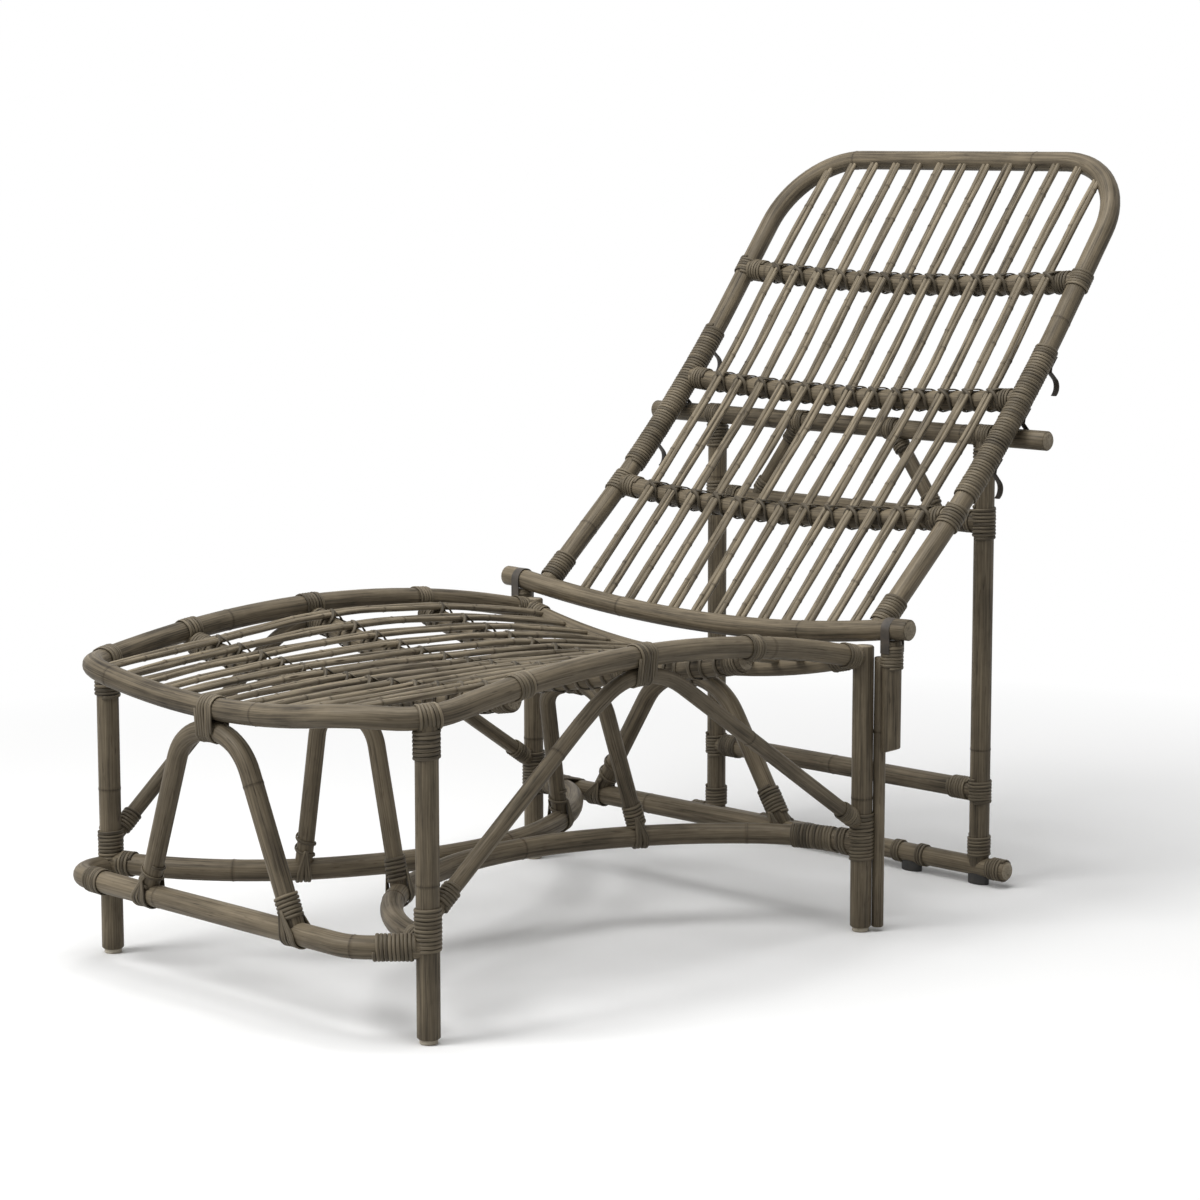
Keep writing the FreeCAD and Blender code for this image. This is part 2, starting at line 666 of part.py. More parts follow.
# Hooks behind the side rails, one of three pairs of which holds the top bar of the support.
wrap_outside = pole_r + d.seat_gap + d.strand_diameter
bar_distance = wrap_outside + d.seat_gap + d.hook_thickness + d.hook_play + bar_r
hook_bore = "Dims.bar_diameter / 2 + Dims.hook_play"
hook_round = hook_bore + " + Dims.hook_thickness"
hook_seats = []
for number in range(int(d.hook_count)):
    rail, way = along(paths["backrest_hoop"], d.first_hook_at + number * d.hook_pitch)
    hook_seats.append((rail, way, way.cross(ACROSS)))
for side, hand in SIDES.items():
    hooks = []
    for number, (rail, way, back) in enumerate(hook_seats):
        name = "%s_hook_%d" % (side, number)
        edge = FreeCAD.Vector(hand * rail.x - d.hook_width / 2, rail.y, rail.z) + back * bar_distance
        tip = math.radians(d.hook_arc) - math.pi / 2
        tip_way = back * math.cos(tip) - way * math.sin(tip)
        bow = cylinder_sector(name + "_round", edge, tip_way, ACROSS,
                              hook_round, "Dims.hook_arc", "Dims.hook_width")
        bore = cylinder_sector(name + "_bore", edge, tip_way, ACROSS,
                               hook_bore, FULL_TURN, "Dims.hook_width")
        shank = edge + way * (bar_r + d.hook_play)
        foot_level = edge - back * (bar_distance - wrap_outside - d.seat_gap)
        plates = [
            strip(name + "_shank", shank, -back, ACROSS,
                  hook_round, "Dims.hook_width", "Dims.hook_thickness"),
            strip(name + "_foot", foot_level + way * (bar_r + d.hook_play), way, ACROSS,
                  "Dims.hook_foot", "Dims.hook_width", "Dims.hook_thickness"),
        ]
        hooks.append(bent_strip(name, bow, bore, plates))
    group(side + "_hooks", hooks)

# Back support: a trestle that swings on its top bar in the middle pair of hooks and stands on a runner.
rail, way, back = hook_seats[int(d.hook_count) // 2]
pivot = rail + back * bar_distance
pivot_y = pivot.y + y_origin
pole("support_top_bar", [
    (spot(-d.support_left_reach, pivot_y, pivot.z), ACROSS),
    (spot(d.support_right_reach, pivot_y, pivot.z), ACROSS),
], width="bar_diameter")
pole("support_runner", [
    (spot(-d.runner_half_length, d.support_foot_y, d.runner_height), ACROSS),
    (spot(d.runner_half_length, d.support_foot_y, d.runner_height), ACROSS),
], width="bar_diameter")
leg_foot = spot(0, d.support_foot_y, d.runner_height)
leg_way = unit(spot(0, pivot_y, pivot.z) - leg_foot)


def on_leg(x, height):
    return leg_foot + leg_way * ((height - d.runner_height) / leg_way.z) + ACROSS * x


for side, hand in SIDES.items():
    pole(side + "_support_leg", [
        (on_leg(hand * d.support_leg_half_width, d.runner_height), leg_way),
        (on_leg(hand * d.support_leg_half_width, pivot.z), leg_way),
    ], ["support_top_bar", "support_runner"])
for label, level in (("support_middle_bar", d.support_middle_height),
                     ("support_low_bar", d.support_low_height)):
    pole(label, [
        (on_leg(-d.support_leg_half_width, level), ACROSS),
        (on_leg(d.support_leg_half_width, level), ACROSS),
    ], ["left_support_leg", "right_support_leg"])
for side, hand in SIDES.items():
    brace_low = on_leg(hand * d.brace_low_half_width, d.support_middle_height)
    brace_top = on_leg(hand * d.brace_top_half_width, pivot.z)
    brace_way = unit(brace_top - brace_low)
    pole(side + "_support_brace", [(brace_low, brace_way), (brace_top, brace_way)],
         ["support_middle_bar", "support_top_bar"], "brace_diameter")
for number, x in enumerate((-d.support_leg_half_width, -d.runner_glide_half_width,
                            d.runner_glide_half_width, d.support_leg_half_width), start=1):
    glide = doc.addObject("Part::Cylinder", "runner_glide_%d" % number)
    glide.setExpression("Radius", "Dims.runner_glide_diameter / 2")
    glide.setExpression("Height", "Dims.runner_height")
    glide.Placement.Base = spot(x, d.support_foot_y, 0)
    keep("runner_glide_%d" % number, glide, ["support_runner"])


# Short lashings: a few turns of strand beside a joint, on the named poles, at a distance from either end.
def lashings(label, spans):
    turns = []
    for number, (carrier, distance, *few) in enumerate(spans):
        loops = few[0] if few else d.lashing_loops
        length = loops * d.lashing_pitch
        whole = sum(edge.Length for edge in paths[carrier])
        start = distance if distance >= 0 else whole + distance - length
        turns.append(winding("%s_%d" % (label, number), carrier, start, loops, d.lashing_pitch))
    group(label, turns)


clear = d.lashing_clear
slant_clear = d.lashing_clear + pole_r
lashings("leg_lashings", [("front_left_leg", -clear), ("front_right_leg", -clear)])
lashings("arch_lashings", [("front_arch", clear), ("front_arch", -clear),
                           ("rear_arch", slant_clear), ("rear_arch", -slant_clear),
                           ("inner_front_arch", clear), ("inner_front_arch", -clear),
                           ("inner_rear_arch", clear), ("inner_rear_arch", -clear)])
past_bend = front_leg_y - d.front_stretcher_y + d.stretcher_left_bend * (math.pi / 2 - 1)
lashings("stretcher_lashings", [("front_stretcher", past_bend + d.strand_diameter),
                                ("front_stretcher", -slant_clear)])
# The turns at the top of a support leg are as many as fit over the middle bar.
top_room = (pivot.z - d.support_middle_height) / leg_way.z - clear - pole_r - d.strand_diameter
top_loops = min(d.lashing_loops, int(top_room / d.lashing_pitch))
lashings("support_lashings", [("left_support_leg", -clear, top_loops),
                              ("right_support_leg", -clear, top_loops),
                              ("support_middle_bar", clear), ("support_middle_bar", -clear),
                              ("support_low_bar", clear), ("support_low_bar", -clear),
                              ("support_runner", d.strand_diameter), ("support_runner", -d.strand_diameter)])

doc.recompute()
for item in doc.Objects:
    if "Invalid" in item.State or "Error" in item.State:
        raise RuntimeError("%s failed to build" % item.Label)
for label, item in nodes.items():
    if item.Shape.isNull() or not item.Shape.isValid() or not item.Shape.Solids:
        raise RuntimeError("%s is not a valid solid" % label)

os.makedirs("parts", exist_ok=True)
for label, item in nodes.items():
    item.Shape.exportStep("parts/%s.step" % label)
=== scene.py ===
import math
import random

import bmesh
import bpy
from mathutils import Matrix, Vector, noise


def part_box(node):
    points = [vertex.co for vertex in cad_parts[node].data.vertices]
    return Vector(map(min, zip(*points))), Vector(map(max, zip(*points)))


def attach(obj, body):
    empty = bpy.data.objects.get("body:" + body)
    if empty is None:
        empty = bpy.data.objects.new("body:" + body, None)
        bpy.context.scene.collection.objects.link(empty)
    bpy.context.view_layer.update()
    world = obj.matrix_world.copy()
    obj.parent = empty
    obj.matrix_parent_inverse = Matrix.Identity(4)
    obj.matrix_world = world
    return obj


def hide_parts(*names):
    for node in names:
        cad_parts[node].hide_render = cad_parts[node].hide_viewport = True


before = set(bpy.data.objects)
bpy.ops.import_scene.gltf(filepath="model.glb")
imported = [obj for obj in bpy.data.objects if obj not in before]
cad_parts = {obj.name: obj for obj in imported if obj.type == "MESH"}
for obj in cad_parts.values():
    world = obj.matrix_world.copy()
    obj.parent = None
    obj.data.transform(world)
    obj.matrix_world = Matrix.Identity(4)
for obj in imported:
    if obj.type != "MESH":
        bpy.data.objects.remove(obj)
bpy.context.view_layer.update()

noise.seed_set(1)

# Seat rim: one rattan pole, steamed and bent round both long sides and the front, 28 mm thick.
# Its crown is over the middle cross bar, and its rear ends butt against the rear legs.
POLE_R = 0.014
ACROSS, AHEAD, UP = Vector((1, 0, 0)), Vector((0, 1, 0)), Vector((0, 0, 1))
RAIL_X = 0.309
REAR_LEG_Y = 0.382
SIDES = {"left": -1, "right": 1}
AXIS_X, AXIS_Y, AXIS_Z = range(3)
rear_leg_low, rear_leg_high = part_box("rear_right_leg")
SEAT_Y = (rear_leg_low[1] + rear_leg_high[1]) / 2 - REAR_LEG_Y
STRAIGHT_STEP, BEND_STEP = 0.03, math.radians(6)
NO_TURN, NO_SPREAD = 1e-4, 1e-7


def spot(x, y, z):
    """A place given in the seat frame's own measures."""
    return Vector((x, y + SEAT_Y, z))


def mirrored_turn(way, chord):
    """The way at one end of an arc over a chord, from the way at its other end."""
    step = chord.normalized()
    return (step * (2 * step.dot(way)) - way).normalized()


def bend(start, corner, end, turn):
    """Points along the arc from start to end whose tangents meet in the corner, the end left out."""
    if turn < NO_TURN:
        steps = max(1, math.ceil((end - start).length / STRAIGHT_STEP))
        return [start.lerp(end, i / steps) for i in range(steps)]
    steps = max(1, math.ceil(turn / BEND_STEP), math.ceil((end - start).length / STRAIGHT_STEP))
    first, second = corner - start, end - corner
    axis = first.cross(second).normalized()
    radius = first.length / math.tan(turn / 2)
    centre = start + axis.cross(first).normalized() * radius
    return [centre + Matrix.Rotation(turn * i / steps, 3, axis) @ (start - centre) for i in range(steps)]


def run_of_cane(stations):
    """A bent cane's line: each pair of stations is joined by two tangent arcs, as the pole was bent."""
    spots = [place for place, way in stations]
    given = [way for place, way in stations]
    ways = list(given)
    last = len(spots) - 1
    for i in range(1, last):
        before, after = spots[i] - spots[i - 1], spots[i + 1] - spots[i]
        if given[i] is None and given[i - 1] is not None:
            ways[i] = mirrored_turn(given[i - 1], before)
        elif given[i] is None and given[i + 1] is not None:
            ways[i] = mirrored_turn(given[i + 1], after)
        elif given[i] is None:
            ways[i] = (before / before.length_squared + after / after.length_squared).normalized()
    if ways[0] is None:
        ways[0] = mirrored_turn(ways[1], spots[1] - spots[0])
    if ways[last] is None:
        ways[last] = mirrored_turn(ways[last - 1], spots[last] - spots[last - 1])
    points = []
    for i in range(last):
        start, leave, end, arrive = spots[i], ways[i].normalized(), spots[i + 1], ways[i + 1].normalized()
        chord, spread = end - start, 1 - leave.dot(arrive)
        run = chord.dot(leave + arrive)
        if spread < NO_SPREAD:
            reach = chord.length_squared / (2 * run)
        else:
            reach = (math.sqrt(run * run + 2 * spread * chord.length_squared) - run) / (2 * spread)
        first, second = start + leave * reach, end - arrive * reach
        joint = (first + second) / 2
        points += bend(start, first, joint, leave.angle(joint - first))
        points += bend(joint, second, end, (second - joint).angle(arrive))
    points.append(spots[last])
    return points


def mirrored(half):
    """A whole cane's stations from those of one half, which ends on the middle plane."""
    rest = []
    for place, way in half[:-1]:
        turned = None if way is None else Vector((way.x, -way.y, -way.z))
        rest.append((Vector((-place.x, place.y, place.z)), turned))
    return list(half) + rest[::-1]


class Line:
    """A cane's line measured along its length."""

    def __init__(self, stations):
        self.points = run_of_cane(stations)
        self.marks = [0.0]
        for a, b in zip(self.points, self.points[1:]):
            self.marks.append(self.marks[-1] + (b - a).length)
        self.length = self.marks[-1]

    def at(self, distance):
        i = 0
        while i < len(self.marks) - 2 and self.marks[i + 1] < distance:
            i += 1
        share = (distance - self.marks[i]) / (self.marks[i + 1] - self.marks[i])
        return self.points[i].lerp(self.points[i + 1], share), self.way(i, share)

    def way(self, i, share):
        chord = self.points[i + 1] - self.points[i]
        before = chord if i == 0 else self.points[i + 1] - self.points[i - 1]
        after = chord if i + 2 == len(self.points) else self.points[i + 2] - self.points[i]
        return before.normalized().lerp(after.normalized(), share).normalized()

    def where(self, axis, value):
        """Distance along the line at which one coordinate first reaches a value."""
        for i, (a, b) in enumerate(zip(self.points, self.points[1:])):
            if (a[axis] - value) * (b[axis] - value) <= 0 and a[axis] != b[axis]:
                step = self.marks[i + 1] - self.marks[i]
                return self.marks[i] + step * (value - a[axis]) / (b[axis] - a[axis])


def draw_tube(rings, sides, shift):
    """One closed tube through rings of (frame, half width, half height, mark, knot). The grain attribute
    holds the place in the cane as if it were straight, the joint attribute marks the growth joints."""
    bm = bmesh.new()
    grain = bm.verts.layers.float_vector.new("grain")
    joint = bm.verts.layers.float.new("joint")
    previous = None
    for place, wide, high, mark, knot in rings:
        matrix = place @ Matrix.Diagonal((wide, high, 1, 1))
        if previous is None:
            verts = bmesh.ops.create_circle(bm, segments=sides, radius=1, matrix=matrix)["verts"]
            loop = first_loop = bm.edges[:]
        else:
            made = bmesh.ops.extrude_edge_only(bm, edges=loop)["geom"]
            verts = [part for part in made if isinstance(part, bmesh.types.BMVert)]
            fresh = set(verts)
            loop = [part for part in made
                    if isinstance(part, bmesh.types.BMEdge) and fresh.issuperset(part.verts)]
            bmesh.ops.transform(bm, matrix=matrix @ previous.inverted(), verts=verts)
        back = place.inverted()
        for vert in verts:
            local = back @ vert.co
            vert[grain] = (local.x, local.y, mark + shift)
            vert[joint] = knot
        previous = matrix
    for edges in (first_loop, loop):
        for face in bmesh.ops.contextual_create(bm, geom=edges)["faces"]:
            face.material_index = 1
    return bm


def add_object(name, data):
    thing = bpy.data.objects.new(name, data)
    bpy.context.scene.collection.objects.link(thing)
    return thing


def make_piece(name, tubes, materials, body, nodes):
    """Joins the tubes into one piece that rides a body and stands for the named CAD nodes."""
    whole = bmesh.new()
    scratch = bpy.data.meshes.new("scratch")
    for tube in tubes:
        tube.to_mesh(scratch)
        tube.free()
        whole.from_mesh(scratch)
    bpy.data.meshes.remove(scratch)
    bmesh.ops.recalc_face_normals(whole, faces=whole.faces)
    mesh = bpy.data.meshes.new(name)
    whole.to_mesh(mesh)
    whole.free()
    mesh.shade_smooth()
    for material in materials:
        mesh.materials.append(material)
    piece = add_object(name, mesh)
    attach(piece, body)
    if nodes:
        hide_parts(*nodes)
    return piece


def facing(place, way, side):
    """A frame at a place whose Z runs along the cane and whose X lies to the given side."""
    side = (side - way * side.dot(way)).normalized()
    return Matrix.Translation(place) @ Matrix((side, way.cross(side), way)).transposed().to_4x4(), side


MUCH_ACROSS = 0.7


def start_side(line, mark):
    """A side to begin from that doesn't lie along the cane."""
    return ACROSS if abs(line.at(mark)[1].x) < MUCH_ACROSS else AHEAD


KNOT = ((-0.0035, 0.0), (-0.0012, 0.55), (0.0, 1.0), (0.0014, 0.4), (0.004, 0.0))
FIRST_KNOT, LAST_KNOT = 0.7, 0.01
END_ROUND, END_TUCK = 0.12, 0.88
UNEVEN, UNEVEN_RATE, WOBBLE_RATE = 0.02, (7, 3.1), (11, 1.7)
GRAIN_SHIFT = 50


def grow_cane(line, radius, seed, sides=20, gap=(0.22, 0.46), swell=0.0005, wobble=0.0):
    """One length of cane along a line, a little uneven, swollen at its growth joints, with broken edges."""
    draw = random.Random(seed)
    end = line.length
    turn_in = radius * END_ROUND
    marks = {mark: 0.0 for mark in line.marks if turn_in * 2 < mark < end - turn_in * 2}
    knot = draw.uniform(*gap) * FIRST_KNOT
    while knot < end - LAST_KNOT:
        marks.update({knot + step: height for step, height in KNOT})
        knot += draw.uniform(*gap)
    stops = [(0.0, 0.0, END_TUCK), (turn_in, 0.0, 1.0)]
    stops += [(mark, marks[mark], 1.0) for mark in sorted(marks)]
    stops += [(end - turn_in, 0.0, 1.0), (end, 0.0, END_TUCK)]
    side = start_side(line, 0.0)
    rings = []
    for mark, height, tuck in stops:
        place, way = line.at(mark)
        place = place + noise.noise_vector(Vector((mark * WOBBLE_RATE[0], seed * WOBBLE_RATE[1], 0))) * wobble
        frame_here, side = facing(place, way, side)
        uneven = 1 + UNEVEN * noise.noise(Vector((mark * UNEVEN_RATE[0], seed * UNEVEN_RATE[1], 0)))
        size = radius * tuck * uneven + swell * height
        rings.append((frame_here, size, size, mark, height))
    return draw_tube(rings, sides, draw.uniform(0, GRAIN_SHIFT))


def node_maker(tree):
    def make(kind, **values):
        """A new node. A value named like an input sets it, and in_0, in_1 set inputs by number."""
        node = tree.nodes.new(kind)
        for key, value in values.items():
            if key[0].isupper():
                node.inputs[key].default_value = value
            elif key.startswith("in_"):
                node.inputs[int(key[3:])].default_value = value
            else:
                setattr(node, key, value)
        return node
    return make


def link_all(tree, pairs):
    for source, target in pairs:
        tree.links.new(source, target)


def fresh_material(name):
    material = bpy.data.materials.new(name)
    material.use_nodes = True
    tree = material.node_tree
    return material, tree, node_maker(tree), tree.nodes["Principled BSDF"]


MIX_A, MIX_B, MIX_OUT = 6, 7, 2
JOINT_SHADE, FLECK_COLOUR, FLECK_DEPTH = 0.65, (0.22, 0.19, 0.16, 1), 0.3
BROAD_SHARE, FINE_SHARE, BLOTCH_SHARE, CANE_SHARE = 0.34, 0.40, 0.26, 0.7
ROUGHNESS, ROUGHNESS_FALL = 0.62, -0.18


def weathered_group():
    """Grain of weathered cane: long streaks, dull blotches, bark flecks and dark growth joints."""
    group = bpy.data.node_groups.new("weathered cane", "ShaderNodeTree")
    for name, way, kind in (("Dark", "INPUT", "Color"), ("Light", "INPUT", "Color"),
                            ("Flecks", "INPUT", "Float"), ("Color", "OUTPUT", "Color"),
                            ("Roughness", "OUTPUT", "Float"), ("Height", "OUTPUT", "Float")):
        group.interface.new_socket(name, in_out=way, socket_type="NodeSocket" + kind)
    make = node_maker(group)
    join = group.links.new
    given, out = make("NodeGroupInput"), make("NodeGroupOutput")
    grain = make("ShaderNodeAttribute", attribute_name="grain")
    joint = make("ShaderNodeAttribute", attribute_name="joint")

    def streaks(stretch, scale, detail, rough):
        squeeze = make("ShaderNodeVectorMath", operation="MULTIPLY", in_1=(1, 1, stretch))
        join(grain.outputs["Vector"], squeeze.inputs[0])
        wave = make("ShaderNodeTexNoise", Scale=scale, Detail=detail, Roughness=rough)
        join(squeeze.outputs[0], wave.inputs["Vector"])
        return wave.outputs["Fac"]

    def ramp(value, low, high):
        spread = make("ShaderNodeMapRange", in_1=low, in_2=high)
        join(value, spread.inputs[0])
        return spread.outputs[0]

    def sums(operation, a, b):
        node = make("ShaderNodeMath", operation=operation)
        for i, value in enumerate((a, b)):
            if isinstance(value, (int, float)):
                node.inputs[i].default_value = value
            else:
                join(value, node.inputs[i])
        return node.outputs[0]

    def plus(a, b):
        return sums("ADD", a, b)

    def times(a, b):
        return sums("MULTIPLY", a, b)

    broad = streaks(stretch=0.035, scale=190, detail=3, rough=0.6)
    fine = streaks(stretch=0.022, scale=560, detail=3, rough=0.6)
    blotch = streaks(stretch=0.6, scale=24, detail=4, rough=0.6)
    fleck = ramp(streaks(stretch=0.10, scale=330, detail=2, rough=0.5), low=0.64, high=0.72)
    each_cane = streaks(stretch=1.0, scale=0.7, detail=0, rough=0.5)
    tone = plus(times(ramp(broad, low=0.36, high=0.64), BROAD_SHARE),
                times(ramp(fine, low=0.36, high=0.64), FINE_SHARE))
    tone = plus(tone, times(ramp(blotch, low=0.34, high=0.66), BLOTCH_SHARE))
    tone = plus(tone, times(sums("SUBTRACT", each_cane, 0.5), CANE_SHARE))
    colour = make("ShaderNodeMix", data_type="RGBA")
    join(tone, colour.inputs["Factor"])
    join(given.outputs["Dark"], colour.inputs[MIX_A])
    join(given.outputs["Light"], colour.inputs[MIX_B])
    dark = make("ShaderNodeMix", data_type="RGBA", blend_type="MULTIPLY")
    shade = sums("MAXIMUM", times(fleck, given.outputs["Flecks"]), times(joint.outputs["Fac"], JOINT_SHADE))
    join(shade, dark.inputs["Factor"])
    join(colour.outputs[MIX_OUT], dark.inputs[MIX_A])
    dark.inputs[MIX_B].default_value = FLECK_COLOUR
    join(dark.outputs[MIX_OUT], out.inputs["Color"])
    join(plus(times(tone, ROUGHNESS_FALL), ROUGHNESS), out.inputs["Roughness"])
    height = plus(times(broad, 0.5), times(fine, 0.5))
    join(sums("SUBTRACT", height, times(fleck, FLECK_DEPTH)), out.inputs["Height"])
    return group


CANE_GRAIN = weathered_group()
GRAIN_DEPTH, CANE_SHINE = 0.0006, 0.22


def cane_material(name, dark, light, flecks, bump):
    material, tree, make, shader = fresh_material(name)
    grain = make("ShaderNodeGroup", node_tree=CANE_GRAIN, Dark=(*dark, 1), Light=(*light, 1), Flecks=flecks)
    relief = make("ShaderNodeBump", Strength=bump, Distance=GRAIN_DEPTH)
    link_all(tree, ((grain.outputs["Color"], shader.inputs["Base Color"]),
                    (grain.outputs["Roughness"], shader.inputs["Roughness"]),
                    (grain.outputs["Height"], relief.inputs["Height"]),
                    (relief.outputs["Normal"], shader.inputs["Normal"])))
    shader.inputs["Specular IOR Level"].default_value = CANE_SHINE
    return material


POLE_CANE = cane_material("weathered_pole_cane", (0.040, 0.032, 0.022), (0.248, 0.201, 0.134), 0.5, 0.6)
CUT_CANE = cane_material("cut_cane_end", (0.15, 0.125, 0.088), (0.46, 0.39, 0.285), 1.0, 0.5)
LINES = {}


def make_pole(name, stations, body, node, seed, radius=POLE_R, **cane):
    LINES[node] = Line(stations)
    tube = grow_cane(LINES[node], radius, seed, **cane)
    return make_piece(name, [tube], [POLE_CANE, CUT_CANE], body, [node])


RIM_FRONT_Y, RIM_FRONT_Z = -0.450, 0.365
RIM_CORNER = 0.112
RIM_CROWN = (-0.037, 0.415)
RIM_END_INSET, RIM_END_Z = 0.012, 0.3665
CORNER_X, CORNER_Y = RAIL_X - RIM_CORNER, RIM_FRONT_Y + RIM_CORNER
CORNER_SIDE_Z, CORNER_FRONT_Z = 0.388, 0.380
make_pole("seat_rim_pole", mirrored([
    (spot(RAIL_X, REAR_LEG_Y - RIM_END_INSET, RIM_END_Z), None),
    (spot(RAIL_X, *RIM_CROWN), -AHEAD),
    (spot(RAIL_X, CORNER_Y, CORNER_SIDE_Z), None),
    (spot(CORNER_X, RIM_FRONT_Y, CORNER_FRONT_Z), None),
    (spot(0, RIM_FRONT_Y, RIM_FRONT_Z), -ACROSS),
]), "seat_frame", "seat_rim", 1)

# Legs: four upright poles on small cream plastic glides. The front pair ends under the rim's corners,
# the rear pair rises past the rim's ends and shows its cut tops.
GLIDE_H = 0.006
rim = LINES["seat_rim"]
leg_low, leg_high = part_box("front_right_leg")
FRONT_LEG_X, FRONT_LEG_Y = (leg_low[0] + leg_high[0]) / 2, (leg_low[1] + leg_high[1]) / 2 - SEAT_Y
FRONT_LEG_TOP = rim.at(rim.where(AXIS_Y, FRONT_LEG_Y + SEAT_Y))[0].z
REAR_LEG_TOP = 0.381
LEG_PAIRS = (("front", FRONT_LEG_X, FRONT_LEG_Y, FRONT_LEG_TOP), ("rear", RAIL_X, REAR_LEG_Y, REAR_LEG_TOP))
for side, hand in SIDES.items():
    for end, x, y, top in LEG_PAIRS:
        name = "%s_%s_leg" % (end, side)
        make_pole(name + "_pole", [(spot(hand * x, y, GLIDE_H), UP), (spot(hand * x, y, top), UP)],
                  "seat_frame", name, len(LINES) * 7)

# Stretchers: the front one bends back to its left leg and slants to its right one, the rear one is
# straight, and two bowed ones run from leg to leg along each side and nearly meet in the middle.
STRETCHER_Y, STRETCHER_Z, REAR_STRETCHER_Z = -0.443, 0.114, 0.115
LEFT_BEND, RIGHT_REACH = 0.042, 0.025
BOW_Z, BOW_GAP, BOW_REAR_Y = 0.119, 0.017, 0.354
BOW_BENDS = ((0.120, -0.272), (0.044, -0.140), (0.044, 0.140), (0.120, 0.272), (0.215, BOW_REAR_Y))
slant = (ACROSS + AHEAD).normalized()
right_corner = spot(FRONT_LEG_X - (FRONT_LEG_Y - STRETCHER_Y), STRETCHER_Y, STRETCHER_Z)
make_pole("front_stretcher_pole", [
    (spot(-FRONT_LEG_X, FRONT_LEG_Y, STRETCHER_Z), -AHEAD),
    (spot(-FRONT_LEG_X, STRETCHER_Y + LEFT_BEND, STRETCHER_Z), -AHEAD),
    (spot(LEFT_BEND - FRONT_LEG_X, STRETCHER_Y, STRETCHER_Z), ACROSS),
    (right_corner - ACROSS * RIGHT_REACH, ACROSS),
    (right_corner + slant * RIGHT_REACH, slant),
    (spot(FRONT_LEG_X, FRONT_LEG_Y, STRETCHER_Z), slant),
], "seat_frame", "front_stretcher", 11)
make_pole("rear_stretcher_pole", [
    (spot(-RAIL_X, REAR_LEG_Y, REAR_STRETCHER_Z), ACROSS),
    (spot(RAIL_X, REAR_LEG_Y, REAR_STRETCHER_Z), ACROSS),
], "seat_frame", "rear_stretcher", 12)
for side, hand in SIDES.items():
    front_end, rear_end = spot(hand * FRONT_LEG_X, FRONT_LEG_Y, BOW_Z), spot(hand * RAIL_X, REAR_LEG_Y, BOW_Z)
    bends = [(spot(hand * x, y, BOW_Z), None) for x, y in BOW_BENDS]
    bends.insert(2, (spot(hand * BOW_GAP, 0, BOW_Z), AHEAD))
    make_pole(side + "_bow_stretcher_pole", [(front_end, None), *bends, (rear_end, None)],
              "seat_frame", side + "_bow_stretcher", 15 + hand)

# Arches: bent poles that stand on the stretchers or against the legs and carry the rim and the bars.
# Each is thinner than the pole over it and lashed to it by its crown.
ARCH_R, INNER_ARCH_R, SIDE_ARCH_R = 0.0125, 0.0110, 0.0100
HAIR = 0.0003
UNDER_GAP = POLE_R + HAIR
FRONT_BAR_Y, FRONT_BAR_Z = -0.240, 0.360
REAR_BAR_Y, REAR_BAR_Z = 0.163, 0.345
REAR_RAIL_Y, REAR_RAIL_Z = 0.367, 0.328
FRONT_ARCH_X, REAR_ARCH_X, INNER_SHOULDER_X = 0.142, 0.176, 0.056
FRONT_SHOULDER_X, FRONT_SHOULDER_Z = 0.069, 0.296
REAR_SHOULDER_X, REAR_SHOULDER_Z = 0.084, 0.262
SIDE_FRONT_FOOT_Z, SIDE_FRONT_SHOULDER = 0.146, (-0.140, 0.344)
SIDE_REAR_FOOT_Z, SIDE_REAR_SHOULDER = 0.142, (0.106, 0.324)


def arch(node, foot, shoulder, apex, seed, radius):
    rise = (shoulder - foot).normalized()
    make_pole(node + "_pole", mirrored([(foot, rise), (shoulder, rise), (apex, -ACROSS)]),
              "seat_frame", node, seed, radius)


arch("front_arch", spot(FRONT_ARCH_X, STRETCHER_Y, STRETCHER_Z),
     spot(FRONT_SHOULDER_X, RIM_FRONT_Y, FRONT_SHOULDER_Z),
     spot(0, RIM_FRONT_Y, RIM_FRONT_Z - UNDER_GAP - ARCH_R), 21, ARCH_R)
rear_apex_z = REAR_RAIL_Z - math.sqrt((UNDER_GAP + ARCH_R) ** 2 - (REAR_LEG_Y - REAR_RAIL_Y) ** 2)
arch("rear_arch", spot(REAR_ARCH_X, REAR_LEG_Y, REAR_STRETCHER_Z),
     spot(REAR_SHOULDER_X, REAR_LEG_Y, REAR_SHOULDER_Z),
     spot(0, REAR_LEG_Y, rear_apex_z), 22, ARCH_R)
bow = LINES["right_bow_stretcher"]
for node, foot_y, bar_y, bar_z, shoulder_z, seed in (
        ("inner_front_arch", -0.236, FRONT_BAR_Y, FRONT_BAR_Z, 0.298, 23),
        ("inner_rear_arch", 0.205, REAR_BAR_Y, REAR_BAR_Z, 0.284, 24)):
    foot = bow.at(bow.where(AXIS_Y, foot_y + SEAT_Y))[0]
    arch(node, foot, spot(INNER_SHOULDER_X, bar_y, shoulder_z),
         spot(0, bar_y, bar_z - UNDER_GAP - INNER_ARCH_R), seed, INNER_ARCH_R)
